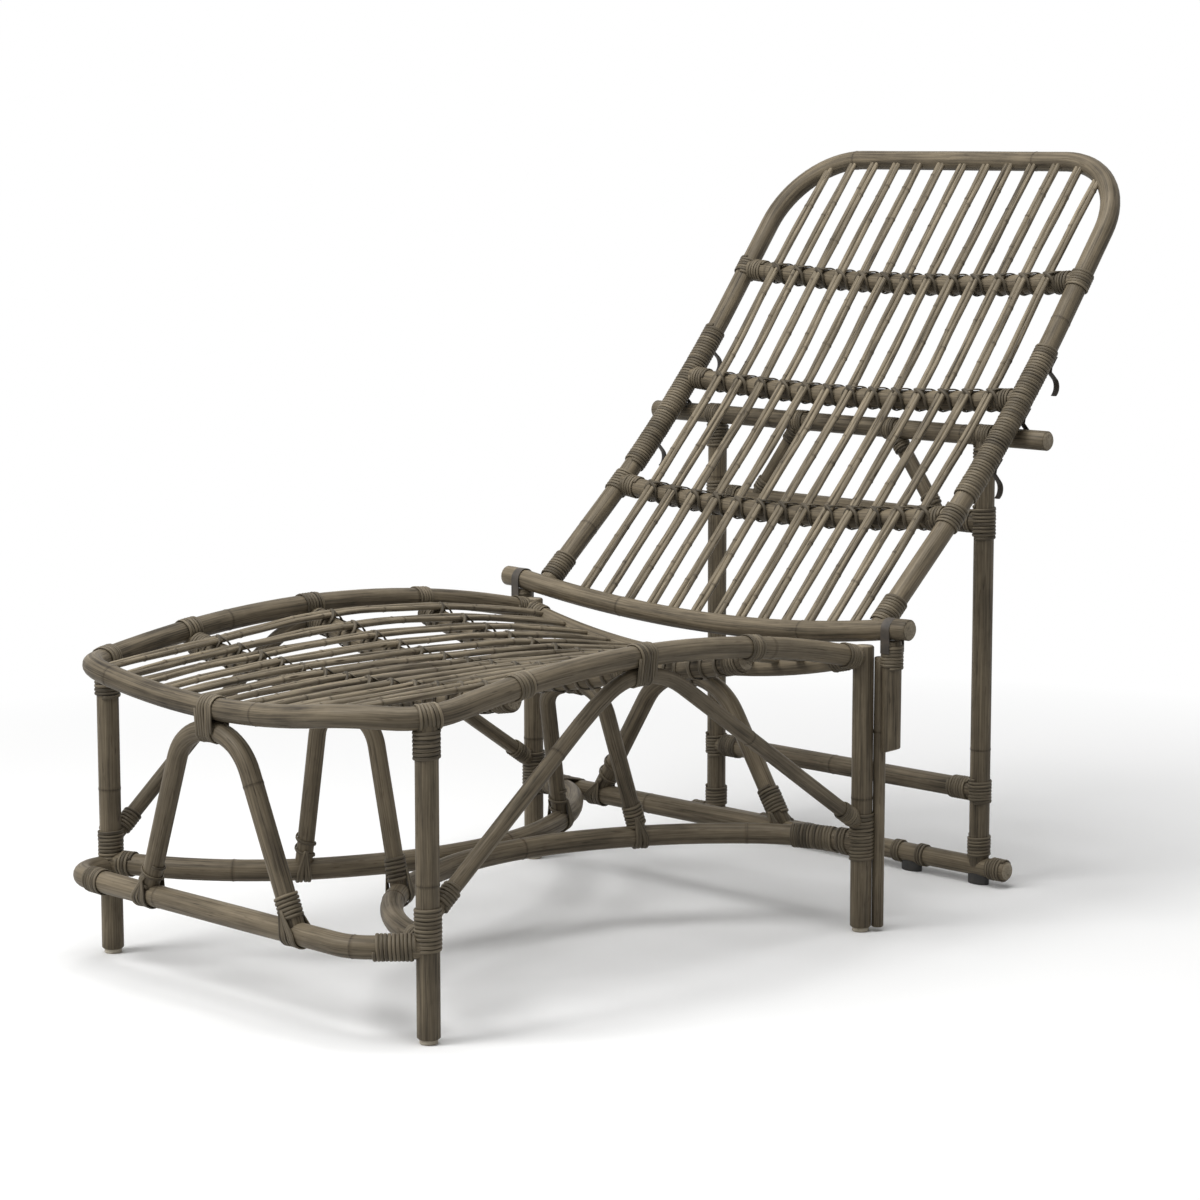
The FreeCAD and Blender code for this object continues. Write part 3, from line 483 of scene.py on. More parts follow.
for side, hand in SIDES.items():
    x = hand * RAIL_X
    front_foot = spot(hand * FRONT_LEG_X, FRONT_LEG_Y, SIDE_FRONT_FOOT_Z)
    front_shoulder = spot(x, *SIDE_FRONT_SHOULDER)
    rear_shoulder, rear_foot = spot(x, *SIDE_REAR_SHOULDER), spot(x, REAR_LEG_Y, SIDE_REAR_FOOT_Z)
    rise, fall = (front_shoulder - front_foot).normalized(), (rear_foot - rear_shoulder).normalized()
    make_pole(side + "_side_arch_pole", [
        (front_foot, rise),
        (front_shoulder, rise),
        (spot(x, RIM_CROWN[0], RIM_CROWN[1] - UNDER_GAP - SIDE_ARCH_R), AHEAD),
        (rear_shoulder, fall),
        (rear_foot, fall),
    ], "seat_frame", side + "_side_arch", 26 + hand, SIDE_ARCH_R)

# Seat bars: three poles and the rear rail, which reach from one side rail to the other.
# They sag in the middle, where a person sits.
BAR_INSET = 0.009
BAR_END_X = RAIL_X - BAR_INSET
for node, y, end_z, z, seed in (("seat_bar_front", FRONT_BAR_Y, 0.387, FRONT_BAR_Z, 31),
                                ("seat_bar_middle", RIM_CROWN[0], 0.399, 0.356, 32),
                                ("seat_bar_rear", REAR_BAR_Y, 0.386, REAR_BAR_Z, 33),
                                ("seat_rear_rail", REAR_RAIL_Y, 0.366, REAR_RAIL_Z, 34)):
    make_pole(node + "_pole", mirrored([(spot(BAR_END_X, y, end_z), None), (spot(0, y, z), -ACROSS)]),
              "seat_frame", node, seed)

# Guide posts and pegs: a thin rod behind each rear leg, and beside it a short peg, cut at its lower end,
# on which the backrest's bottom rail rests in a strap.
HINGE_Y, HINGE_Z = 0.396, 0.404
GUIDE_R, GUIDE_TOP, PEG_R, PEG_LENGTH = 0.008, 0.366, 0.0125, 0.150
PEG_SLANT, PEG_SLANT_REACH = 0.36, 0.030
guide_step = (POLE_R + GUIDE_R + HAIR) * math.sqrt(0.5)
guide_x, guide_y = RAIL_X + guide_step, REAR_LEG_Y + guide_step
PEG_X = guide_x + math.sqrt((GUIDE_R + PEG_R + HAIR) ** 2 - (guide_y - HINGE_Y) ** 2)
peg_top = HINGE_Z - POLE_R - HAIR
for side, hand in SIDES.items():
    guide_foot, guide_head = spot(hand * guide_x, guide_y, GLIDE_H), spot(hand * guide_x, guide_y, GUIDE_TOP)
    make_pole(side + "_guide_rod", [(guide_foot, UP), (guide_head, UP)],
              "seat_frame", side + "_guide_post", 41 + hand, GUIDE_R, sides=14)
    peg_foot = spot(hand * PEG_X, HINGE_Y, peg_top - PEG_LENGTH)
    peg = make_pole(side + "_peg", [(peg_foot, UP), (spot(hand * PEG_X, HINGE_Y, peg_top), UP)],
                    "seat_frame", side + "_hinge_peg", 44 + hand, PEG_R)
    for vert in peg.data.vertices:
        near_cut = max(0.0, 1 - (vert.co.z - peg_foot.z) / PEG_SLANT_REACH)
        vert.co.z += near_cut * PEG_SLANT * (hand * vert.co.x - PEG_X + PEG_R)

# Backrest: a pole bent into a hoop, with a bend half way up its side rails, a bottom rail that turns in
# the two straps, and three sagging bars between the side rails.
LOWER_TILT, UPPER_TILT = math.radians(41.2), math.radians(52.3)
LOWER_RUN, UPPER_RUN = 0.359, 0.467
HOOP_BEND, HOOP_CORNER, HOOP_BEHIND, HOOP_UNDER = 0.200, 0.120, 0.009, 0.0086
BOTTOM_RAIL_BENDS = ((0.376, -0.001, 0.0025, None), (0.340, 0, 0, None), (0, 0.015, -0.028, -ACROSS))
lower_way = Vector((0, math.cos(LOWER_TILT), math.sin(LOWER_TILT)))
upper_way = Vector((0, math.cos(UPPER_TILT), math.sin(UPPER_TILT)))
hoop_start = spot(RAIL_X, HINGE_Y + HOOP_BEHIND, HINGE_Z - HOOP_UNDER)
hoop_bend = hoop_start + lower_way * LOWER_RUN
hoop_top = hoop_bend + upper_way * UPPER_RUN
make_pole("backrest_bottom_rail_pole", mirrored([
    (spot(x, HINGE_Y + behind, HINGE_Z + over), way) for x, behind, over, way in BOTTOM_RAIL_BENDS
]), "backrest", "backrest_bottom_rail", 51)
make_pole("backrest_hoop_pole", mirrored([
    (hoop_start, lower_way),
    (hoop_bend - lower_way * HOOP_BEND, lower_way),
    (hoop_bend + upper_way * HOOP_BEND, upper_way),
    (hoop_top - upper_way * HOOP_CORNER, upper_way),
    (hoop_top - ACROSS * HOOP_CORNER, -ACROSS),
    (Vector((0, hoop_top.y, hoop_top.z)), -ACROSS),
]), "backrest", "backrest_hoop", 52)
HOOP = LINES["backrest_hoop"]
BACK_BARS = {"backrest_bar_low": 0.209, "backrest_bar_middle": 0.418, "backrest_bar_upper": 0.619}
BACK_SAGS = {"backrest_bar_low": 0.019, "backrest_bar_middle": 0.013, "backrest_bar_upper": 0.013}
for node, mark in BACK_BARS.items():
    end = HOOP.at(mark)[0]
    make_pole(node + "_pole", mirrored([(end, None), (Vector((0, end.y, end.z - BACK_SAGS[node])), -ACROSS)]),
              "backrest", node, 53 + round(mark * 100))

# Back support: a trestle of straight poles that hangs by its top bar in a pair of hooks and stands on a
# runner with four black rubber feet.
BAR_R, BRACE_R = 0.0135, 0.0105
FOOT_Y, RUNNER_Z = 0.708, 0.025
low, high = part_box("support_top_bar")
pivot = Vector((0, (low[1] + high[1]) / 2, (low[2] + high[2]) / 2))
leg_foot = spot(0, FOOT_Y, RUNNER_Z)
leg_way = (pivot - leg_foot).normalized()


def on_support(x, z):
    """A place in the plane of the trestle's legs."""
    return leg_foot + leg_way * ((z - RUNNER_Z) / leg_way.z) + ACROSS * x


SUPPORT_X, MIDDLE_Z, LOW_Z = 0.250, 0.510, 0.133
TOP_BAR_LEFT, TOP_BAR_RIGHT, RUNNER_HALF = 0.375, 0.357, 0.300
BRACE_LOW_X, BRACE_TOP_X = 0.173, 0.085
make_pole("support_top_bar_pole",
          [(pivot - ACROSS * TOP_BAR_LEFT, ACROSS), (pivot + ACROSS * TOP_BAR_RIGHT, ACROSS)],
          "back_support", "support_top_bar", 61, BAR_R)
make_pole("support_runner_pole",
          [(leg_foot - ACROSS * RUNNER_HALF, ACROSS), (leg_foot + ACROSS * RUNNER_HALF, ACROSS)],
          "back_support", "support_runner", 62, BAR_R)
for node, z, seed in (("support_middle_bar", MIDDLE_Z, 63), ("support_low_bar", LOW_Z, 64)):
    make_pole(node + "_pole", [(on_support(-SUPPORT_X, z), ACROSS), (on_support(SUPPORT_X, z), ACROSS)],
              "back_support", node, seed)
for side, hand in SIDES.items():
    make_pole(side + "_support_leg_pole", [(on_support(hand * SUPPORT_X, RUNNER_Z), leg_way),
                                           (on_support(hand * SUPPORT_X, pivot.z), leg_way)],
              "back_support", side + "_support_leg", 66 + hand)
    brace_low, brace_top = on_support(hand * BRACE_LOW_X, MIDDLE_Z), on_support(hand * BRACE_TOP_X, pivot.z)
    brace_way = (brace_top - brace_low).normalized()
    make_pole(side + "_support_brace_pole", [(brace_low, brace_way), (brace_top, brace_way)],
              "back_support", side + "_support_brace", 69 + hand, BRACE_R)

# Slats: thirteen pairs of thin canes, side by side, along the seat and thirteen up the backrest.
# They lie on the bars and fan out a little. The seat's end in the front and rear rails, the backrest's
# in its bottom rail and in the hoop's top.
ROD_R, ROD_SPREAD, ROD_PINCH = 0.0038, (0.94, 1.06), 0.0001
SLAT_GAP, SLAT_RISE = 0.0005, 0.005
SLAT_SEAT = POLE_R + SLAT_GAP + ROD_R
SLAT_STEPS = range(-6, 7)
SLAT_CANE = cane_material("slat_cane", (0.030, 0.024, 0.017), (0.335, 0.277, 0.190), 1.0, 0.7)
FRONT_PITCH = 0.036
SEAT_PITCHES = {"seat_bar_front": 0.042, "seat_bar_middle": 0.0445,
                "seat_bar_rear": 0.045, "seat_rear_rail": 0.045}
slat_ties = {"seat_frame": [], "backrest": []}


def lay_slat(stations, bed, seed):
    """The two canes of one slat, each a little thinner or thicker than the next."""
    tubes = []
    for hand in SIDES.values():
        radius = ROD_R * random.Random(seed + hand).uniform(*ROD_SPREAD)
        line = Line([(place + bed * (hand * (ROD_R - ROD_PINCH)), way) for place, way in stations])
        tubes.append(grow_cane(line, radius, seed + hand, sides=10, gap=(0.05, 0.17),
                               swell=0.0006, wobble=0.0016))
    return tubes


front_rail = [point for point in rim.points if point.y < SEAT_Y + CORNER_Y]
seat_canes = []
for step in SLAT_STEPS:
    front = min(front_rail, key=lambda point: abs(point.x - step * FRONT_PITCH))
    stations = [(Vector((step * FRONT_PITCH, front.y, front.z)) + UP * SLAT_RISE, None)]
    for node, pitch in SEAT_PITCHES.items():
        bar = LINES[node]
        mark = bar.where(AXIS_X, step * pitch)
        place, way = bar.at(mark)
        lift = AHEAD.cross(way)
        if node == "seat_rear_rail":
            stations.append((place + lift * SLAT_RISE, None))
        else:
            stations.append((place + lift * SLAT_SEAT, None))
            slat_ties["seat_frame"].append((bar, mark, lift))
        if node == "seat_bar_rear":
            bed = way
    seat_canes += lay_slat(stations, bed, 200 + 4 * step)
make_piece("seat_slat_canes", seat_canes, [SLAT_CANE, CUT_CANE], "seat_frame", ["seat_slats"])

BACK_PITCH, SHIFT_LOW, SHIFT_TOP, BACK_SLAT_START = 0.042, 0.021, 0.012, 0.008
bottom_rail = LINES["backrest_bottom_rail"]
back_canes = []
for step in SLAT_STEPS:
    across = step * BACK_PITCH
    low = bottom_rail.at(bottom_rail.where(AXIS_X, across + SHIFT_LOW))[0]
    stations = [(low + ACROSS.cross(lower_way) * SLAT_RISE - lower_way * BACK_SLAT_START, None)]
    for node, mark in BACK_BARS.items():
        bar = LINES[node]
        drift = (SHIFT_TOP - SHIFT_LOW) * mark / (LOWER_RUN + UPPER_RUN)
        bar_mark = bar.where(AXIS_X, across + SHIFT_LOW + drift)
        place, bar_way = bar.at(bar_mark)
        normal = ACROSS.cross(HOOP.at(mark)[1])
        lift = (normal - bar_way * normal.dot(bar_way)).normalized()
        stations.append((place + lift * SLAT_SEAT, None))
        slat_ties["backrest"].append((bar, bar_mark, lift))
        if node == "backrest_bar_low":
            bed = bar_way
    high = HOOP.at(HOOP.where(AXIS_X, across + SHIFT_TOP))[0]
    stations.append((high + ACROSS.cross(upper_way) * SLAT_RISE, None))
    back_canes += lay_slat(stations, bed, 400 + 4 * step)
make_piece("backrest_slat_canes", back_canes, [SLAT_CANE, CUT_CANE], "backrest", ["backrest_slats"])

# Ties: at each bar two thin strands of peel go round the bar and over each slat.
# They cross on top of the slat and again under the bar.
STRAND_CANE = cane_material("peel_strand", (0.022, 0.018, 0.013), (0.240, 0.197, 0.134), 0.5, 0.5)
# The ties use the same peel as the lashings, given a darker copy of its colour: painted shade for where they
# lie in the shadow of the slats.
SHADED_TIE_CANE = cane_material("tie_strand_painted_shade", (0.018, 0.015, 0.011), (0.150, 0.123, 0.084), 0.4, 0.5)
TIE_W, TIE_T, TIE_GAP = 0.0058, 0.0022, 0.0002
TIE_SWAY, TIE_UNEVEN, TIE_SHIFT = 0.0104, (0.85, 1.15), (-0.001, 0.001)
TIE_LIFT, TIE_OVER, TIE_CREST = 0.0068, 0.0010, 0.52
TIE_STEPS, TIE_NEAR, TIE_FAR, TIE_SWING = 16, 0.4, 0.6, 2.6


def lay_strand(course, seed, wide, thick, sides=6):
    """A flat strand along a course of (place, outward) pairs, lying on those places."""
    rings = []
    mark = 0.0
    for i, (place, outward) in enumerate(course):
        before, after = course[max(i - 1, 0)][0], course[min(i + 1, len(course) - 1)][0]
        way = (after - before).normalized()
        frame_here = facing(place + outward * (thick / 2), way, outward.cross(way))[0]
        mark += (place - before).length
        rings.append((frame_here, wide / 2, thick / 2, mark, 0.0))
    return draw_tube(rings, sides, random.Random(seed).uniform(0, GRAIN_SHIFT))


def tie_slat(bar, mark, up, seed):
    """Two strands round a bar and the slat on it."""
    place, way = bar.at(mark)
    side = way.cross(up)
    draw = random.Random(seed)
    tubes = []
    for hand in SIDES.values():
        sway = hand * TIE_SWAY * draw.uniform(*TIE_UNEVEN)
        shift = way * draw.uniform(*TIE_SHIFT)
        lift = TIE_LIFT + (TIE_OVER if hand > 0 else 0.0)
        course = []
        for step in range(-TIE_STEPS, TIE_STEPS + 1):
            turn = math.pi * step / TIE_STEPS * (TIE_NEAR + TIE_FAR * abs(step) / TIE_STEPS)
            near = min(abs(turn), math.pi - abs(turn))
            swing = math.copysign(math.sin(min(math.pi / 2, TIE_SWING * near)), turn)
            outward = up * math.cos(turn) + side * math.sin(turn)
            rise = up * (lift * math.exp(-(turn / TIE_CREST) ** 2))
            on_bar = place + outward * (POLE_R + TIE_GAP)
            course.append((on_bar + rise + way * (sway * swing) + shift, outward))
        tubes.append(lay_strand(course, seed + hand, TIE_W, TIE_T))
    return tubes


for body, ties in slat_ties.items():
    strands = []
    for i, tie in enumerate(ties):
        strands += tie_slat(*tie, 600 + 3 * i)
    # The ties get the darker peel colour, which is painted shade.
    make_piece(body + "_slat_ties", strands, [SHADED_TIE_CANE, SHADED_TIE_CANE], body, [])

# Lashings: every joint is bound with turns of the same peel, pulled tight side by side.
# Where two poles lie along each other the turns go round both, and at an arch's foot strands saddle
# the pole under it.
BIND_W, BIND_T, BIND_PITCH, BIND_SIDES = 0.0045, 0.0024, 0.0047, 8
TURN_STEPS, SLACK, SLACK_RATE = 18, 0.0005, 0.23
SADDLE_STEPS, SADDLE_TURN, SADDLE_PAST = 15, math.pi * 0.78, math.pi * 0.28
SADDLE_START, SADDLE_PITCH, SADDLE_RISE = 0.0030, 0.0043, 0.030
LEAN_FRONT, LEAN_BACK = 1.3, 0.9


def bind(line, start, end, seed, radius=POLE_R, mate=None, mate_radius=POLE_R, axis=AXIS_X):
    """Turns of strand round a cane between two marks, and round its mate as well where it has one."""
    loops = max(2, round((end - start) / BIND_PITCH))
    side = start_side(line, start)
    first = random.Random(seed).uniform(0, 2 * math.pi)
    course = []
    for step in range(loops * TURN_STEPS + 1):
        share = step / TURN_STEPS
        place, way = line.at(start + (end - start) * share / loops)
        other = place
        if mate:
            other = mate.at(mate.where(axis, place[axis]))[0]
            side, first = other - place, math.pi / 2
        side = facing(place, way, side)[1]
        turn = 2 * math.pi * share + first
        outward = side * math.cos(turn) + way.cross(side) * math.sin(turn)
        centre, reach = (other, mate_radius) if mate and math.cos(turn) > 0 else (place, radius)
        slack = SLACK * noise.noise(Vector((step * SLACK_RATE, seed, 0)))
        course.append((centre + outward * (reach + HAIR + slack) + way * slack, outward))
    return lay_strand(course, seed, BIND_W, BIND_T, BIND_SIDES)


def bind_over(line, mark, width, seed, **more):
    return bind(line, mark - width / 2, mark + width / 2, seed, **more)


def bind_far(line, near, far, seed, **more):
    """Turns between two marks that count from the cane's far end."""
    return bind(line, line.length - far, line.length - near, seed, **more)


def bind_ends(node, near, far, seed, **more):
    line = LINES[node]
    return [bind(line, near, far, seed, **more), bind_far(line, near, far, seed + 1, **more)]


def saddle(foot, rise, along, radius, strand_count, seed):
    """Strands that hang from an arch's foot round the pole under it, spreading to both sides."""
    front = rise.cross(along).normalized()
    up = along.cross(front).normalized()
    strands = []
    for number in range(strand_count):
        hand = 1 if number % 2 else -1
        spread = hand * (SADDLE_START + SADDLE_PITCH * (number // 2))
        course = []
        for step in range(-SADDLE_STEPS, SADDLE_STEPS + 1):
            turn = SADDLE_TURN * step / SADDLE_STEPS
            outward = front * math.sin(turn) - up * math.cos(turn)
            past = max(0.0, abs(turn) - math.pi / 2) / SADDLE_PAST
            if past:
                outward = front * math.copysign(1, turn)
            lean = spread * (1 - (LEAN_FRONT if turn > 0 else LEAN_BACK) * past)
            reach = POLE_R + (radius - POLE_R) * past + HAIR * (1 + number // 2)
            course.append((foot + outward * reach + rise * (past * SADDLE_RISE) + along * lean, outward))
        strands.append(lay_strand(course, seed + number, BIND_W, BIND_T, BIND_SIDES))
    return strands


def on_rim(hand, y):
    mark = rim.where(AXIS_Y, y + SEAT_Y)
    return mark if hand > 0 else rim.length - mark


# Marks, from one end of a pole, between which it is bound, and widths of the turns over a crossing.
LEG_TOP, LEG_LOW, REAR_LEG_LOW = (0.015, 0.049), (0.104, 0.156), (0.092, 0.154)
SIDE_ARCH_END, PEG_HEAD, BOW_FRONT, BAR_END = (0.022, 0.050), (0.004, 0.036), (0.017, 0.036), (0.006, 0.030)
STRETCHER_LEFT, STRETCHER_RIGHT = (0.088, 0.116), (0.015, 0.062)
BOW_BESIDE, BOW_TAIL = (0.0, 0.060), (0.066, 0.080)
ARCH_FOOT, REAR_ARCH_FOOT = (0.016, 0.046), (0.024, 0.062)
RIM_AT_LEG, RIM_AT_CROWN, RIM_AT_BAR, RIM_TAIL = 0.026, 0.030, 0.024, 0.030
FRONT_CROWN_W, BAR_CROWN_W = 0.028, 0.026
seat_binding = []
rear_stretcher, front_stretcher = LINES["rear_stretcher"], LINES["front_stretcher"]
for side, hand in SIDES.items():
    leg, rear_leg = LINES["front_%s_leg" % side], LINES["rear_%s_leg" % side]
    side_arch, bow = LINES[side + "_side_arch"], LINES[side + "_bow_stretcher"]
    peg = LINES[side + "_hinge_peg"]
    beside = bow.where(AXIS_Y, BOW_REAR_Y + SEAT_Y)
    seed = 900 + 50 * hand
    seat_binding += [
        bind_far(leg, *LEG_TOP, seed),
        bind_over(rim, on_rim(hand, FRONT_LEG_Y), RIM_AT_LEG, seed + 1),
        bind_over(rim, on_rim(hand, RIM_CROWN[0]), RIM_AT_CROWN, seed + 2,
                  mate=side_arch, mate_radius=SIDE_ARCH_R, axis=AXIS_Y),
        *(bind_over(rim, on_rim(hand, y), RIM_AT_BAR, seed + 3 + round(y * 10))
          for y in (FRONT_BAR_Y, REAR_BAR_Y)),
        bind_over(rim, on_rim(hand, REAR_LEG_Y - RIM_TAIL), RIM_AT_BAR, seed + 7),
        bind(leg, *LEG_LOW, seed + 9),
        bind(rear_leg, *REAR_LEG_LOW, seed + 11),
        *bind_ends(side + "_side_arch", *SIDE_ARCH_END, seed + 13, radius=SIDE_ARCH_R),
        bind_far(peg, *PEG_HEAD, seed + 14, radius=PEG_R),
        bind(bow, *BOW_FRONT, seed + 15),
        bind(bow, beside + BOW_BESIDE[0], beside + BOW_BESIDE[1], seed + 16, mate=rear_stretcher),
        bind(bow, beside + BOW_TAIL[0], beside + BOW_TAIL[1], seed + 17, mate=rear_stretcher),
    ]
    for name, base, x, width, count, radius in (
            ("front_arch", front_stretcher, FRONT_ARCH_X, ARCH_FOOT, 6, ARCH_R),
            ("rear_arch", rear_stretcher, REAR_ARCH_X, REAR_ARCH_FOOT, 6, ARCH_R),
            ("inner_front_arch", bow, None, ARCH_FOOT, 4, INNER_ARCH_R),
            ("inner_rear_arch", bow, None, ARCH_FOOT, 4, INNER_ARCH_R)):
        arch_line = LINES[name]
        near = 0.0 if hand > 0 else arch_line.length
        foot, rise = arch_line.at(near)
        mark = base.where(AXIS_Y, foot.y) if x is None else base.where(AXIS_X, hand * x)
        along = base.at(mark)[1] * (1 if x is None else hand)
        seat_binding += saddle(foot, rise * hand, along, radius, count, seed + 1000 + round(foot.y * 100))
        seat_binding.append(bind(arch_line, abs(near - width[0]), abs(near - width[1]),
                                 seed + 30 + round(foot.y * 10), radius=radius))
seat_binding += [
    bind(front_stretcher, *STRETCHER_LEFT, 1001),
    bind_far(front_stretcher, *STRETCHER_RIGHT, 1002),
    bind_over(rim, rim.length / 2, FRONT_CROWN_W, 1011, mate=LINES["front_arch"], mate_radius=ARCH_R),
]
for node, mate, radius, seed in (("seat_bar_front", "inner_front_arch", INNER_ARCH_R, 1012),
                                 ("seat_bar_rear", "inner_rear_arch", INNER_ARCH_R, 1013),
                                 ("seat_rear_rail", "rear_arch", ARCH_R, 1014)):
    seat_binding.append(bind_over(LINES[node], LINES[node].length / 2, BAR_CROWN_W, seed,
                                  mate=LINES[mate], mate_radius=radius))
for i, node in enumerate(SEAT_PITCHES):
    seat_binding += bind_ends(node, *BAR_END, 1020 + 2 * i)
make_piece("seat_frame_lashings", seat_binding, [STRAND_CANE, STRAND_CANE], "seat_frame",
           ["leg_lashings", "arch_lashings", "stretcher_lashings"])

# Backrest wraps: peel wound along both side rails over the feet of the hooks.
# The ends of the three bars are bound in the same way.
WRAPS = ((0.016, 0.058), (0.192, 0.226), (0.246, 0.505), (0.606, 0.632))
BACK_BAR_END = (0.013, 0.038)
for side, hand in SIDES.items():
    turns = bind if hand > 0 else bind_far
    seed = 1100 + 20 * hand
    wraps = [turns(HOOP, *marks, seed + number) for number, marks in enumerate(WRAPS)]
    for node, mark in BACK_BARS.items():
        wraps.append(turns(LINES[node], *BACK_BAR_END, seed + 10 + round(mark * 10)))
    make_piece(side + "_backrest_wraps", wraps, [STRAND_CANE, STRAND_CANE], "backrest",
               [side + "_lower_wrap", side + "_upper_wrap"])

# Support lashings: the trestle's legs, braces and bars are bound where they meet.
# The runner also has two narrow bindings on each side of its middle.
SUPPORT_BAR_END, RUNNER_END, SUPPORT_LEG_TOP, SUPPORT_LEG_LOW = (
    (0.016, 0.047), (0.004, 0.028), (0.014, 0.049), (0.016, 0.044))
BRACE_HEAD, BRACE_FOOT = (0.015, 0.038), (0.018, 0.038)
TOP_BAR_AT_LEG, TOP_BAR_AT_BRACE = 0.026, 0.022
LEG_AT_BARS = ((MIDDLE_Z, 0.044), (LOW_Z, 0.032))
RUNNER_BINDS, RUNNER_BIND_W = (0.108, 0.152), 0.014
support_binding = bind_ends("support_middle_bar", *SUPPORT_BAR_END, 1201)
support_binding += bind_ends("support_low_bar", *SUPPORT_BAR_END, 1203)
support_binding += bind_ends("support_runner", *RUNNER_END, 1205, radius=BAR_R)
top_bar, runner = LINES["support_top_bar"], LINES["support_runner"]
for side, hand in SIDES.items():
    leg, brace = LINES[side + "_support_leg"], LINES[side + "_support_brace"]
    seed = 1220 + 20 * hand
    support_binding += [
        bind_far(leg, *SUPPORT_LEG_TOP, seed),
        bind_over(top_bar, TOP_BAR_LEFT + hand * SUPPORT_X, TOP_BAR_AT_LEG, seed + 1, radius=BAR_R),
        bind_over(top_bar, TOP_BAR_LEFT + hand * BRACE_TOP_X, TOP_BAR_AT_BRACE, seed + 2, radius=BAR_R),
        bind_far(brace, *BRACE_HEAD, seed + 3, radius=BRACE_R),
        bind(brace, *BRACE_FOOT, seed + 4, radius=BRACE_R),
        bind(leg, *SUPPORT_LEG_LOW, seed + 5),
    ]
    for z, width in LEG_AT_BARS:
        support_binding.append(bind_over(leg, leg.where(AXIS_Z, z), width, seed + 6 + round(z * 10)))
    for x in RUNNER_BINDS:
        support_binding.append(bind_over(runner, RUNNER_HALF + hand * x, RUNNER_BIND_W,
                                         seed + 12 + round(x * 100), radius=BAR_R))
make_piece("support_lashing_turns", support_binding, [STRAND_CANE, STRAND_CANE], "back_support",
           ["support_lashings"])

# Glides: small turned pads pressed under the poles, cream plastic under the legs, longer ones of black
# rubber under the trestle's runner.
BLACK_STRETCH, PAD_SEGMENTS, PAD_BEVEL, SHARP = 1.7, 28, 0.0014, 1
DIRT_SCALE, DIRT_DETAIL, PORE_SCALE, PORE_DEPTH = 70, 5, 900, 0.0004


def moulded(name, colour, rough, grime):
    """Dull moulded stuff with fine pores, dirtier and rougher in blotches."""
    material, tree, make, shader = fresh_material(name)
    where = make("ShaderNodeTexCoord")
    dirt = make("ShaderNodeTexNoise", Scale=DIRT_SCALE, Detail=DIRT_DETAIL)
    pores = make("ShaderNodeTexNoise", Scale=PORE_SCALE)
    tone = make("ShaderNodeMix", data_type="RGBA")
    tone.inputs[MIX_A].default_value = (*grime, 1)
    tone.inputs[MIX_B].default_value = (*colour, 1)
    spread = make("ShaderNodeMapRange", in_1=0.3, in_2=0.6)
    matt = make("ShaderNodeMapRange", in_3=rough + 0.1, in_4=rough - 0.1)
    relief = make("ShaderNodeBump", Strength=0.25, Distance=PORE_DEPTH)
    link_all(tree, ((where.outputs["Object"], dirt.inputs["Vector"]),
                    (where.outputs["Object"], pores.inputs["Vector"]),
                    (dirt.outputs["Fac"], spread.inputs[0]), (dirt.outputs["Fac"], matt.inputs[0]),
                    (spread.outputs[0], tone.inputs["Factor"]),
                    (tone.outputs[MIX_OUT], shader.inputs["Base Color"]),
                    (matt.outputs[0], shader.inputs["Roughness"]),
                    (pores.outputs["Fac"], relief.inputs["Height"]),
                    (relief.outputs["Normal"], shader.inputs["Normal"])))
    return material


CREAM = moulded("cream_plastic", (0.60, 0.54, 0.43), 0.5, (0.34, 0.29, 0.21))
BLACK = moulded("black_rubber", (0.022, 0.021, 0.020), 0.6, (0.050, 0.046, 0.040))
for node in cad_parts:
    if "glide" in node:
        black = node.startswith("runner")
        low, high = (Vector(corner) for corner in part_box(node))
        stretch = Matrix.Diagonal((BLACK_STRETCH if black else 1, 1, 1, 1))
        radius = (high.x - low.x) / 2
        pad = bmesh.new()
        bmesh.ops.create_cone(pad, cap_ends=True, segments=PAD_SEGMENTS, radius1=radius, radius2=radius,
                              depth=high.z - low.z, matrix=Matrix.Translation((low + high) / 2) @ stretch)
        rims = [edge for edge in pad.edges if edge.calc_face_angle() > SHARP]
        bmesh.ops.bevel(pad, geom=rims, offset=PAD_BEVEL, segments=3, profile=0.5, affect="EDGES",
                        material=-1)
        make_piece(node + "_pad", [pad], [BLACK if black else CREAM],
                   "back_support" if black else "seat_frame", [node])

# Hooks and straps: flat dark strips, bent hot. The hooks' feet lie under the wraps of the backrest's
# rails, and the straps hold its bottom rail to the pegs.
STRIP = moulded("dark_strip", (0.060, 0.048, 0.036), 0.55, (0.026, 0.022, 0.018))
HOOK_MARKS, HOOK_W, HOOK_T = (0.290, 0.378, 0.466), 0.010, 0.0015
HOOK_BORE, HOOK_OFF, HOOK_FOOT, HOOK_OUT = 0.0139, 0.0344, 0.024, 0.005
HOOK_START, HOOK_STEP, HOOK_STEPS, HOOK_SIDES = -15, 7.5, 15, 8
SHANK_STEP, SHANK_STEPS, FOOT_GAP = 0.004, 4, 0.0004
for side, hand in SIDES.items():
    hooks = []
    for mark in HOOK_MARKS:
        rail, way = HOOP.at(mark)
        rail = Vector((hand * (rail.x + HOOK_OUT), rail.y, rail.z))
        back = way.cross(ACROSS)
        course = []
        for step in range(HOOK_STEPS):
            turn = math.radians(HOOK_START + HOOK_STEP * step)
            outward = back * math.cos(turn) + way * math.sin(turn)
            course.append((rail + back * HOOK_OFF + outward * HOOK_BORE, outward))
        shank = rail + way * HOOK_BORE
        foot = shank + back * (POLE_R + FOOT_GAP)
        steps = range(1, SHANK_STEPS + 1)
        course += [(shank + back * (HOOK_OFF - SHANK_STEP * step), way) for step in steps]
        course += [(foot + way * (HOOK_FOOT * step / SHANK_STEPS), back) for step in steps]
        hooks.append(lay_strand(course, 1300, HOOK_W, HOOK_T, HOOK_SIDES))
    make_piece(side + "_bent_hooks", hooks, [STRIP, STRIP], "backrest", [side + "_hooks"])
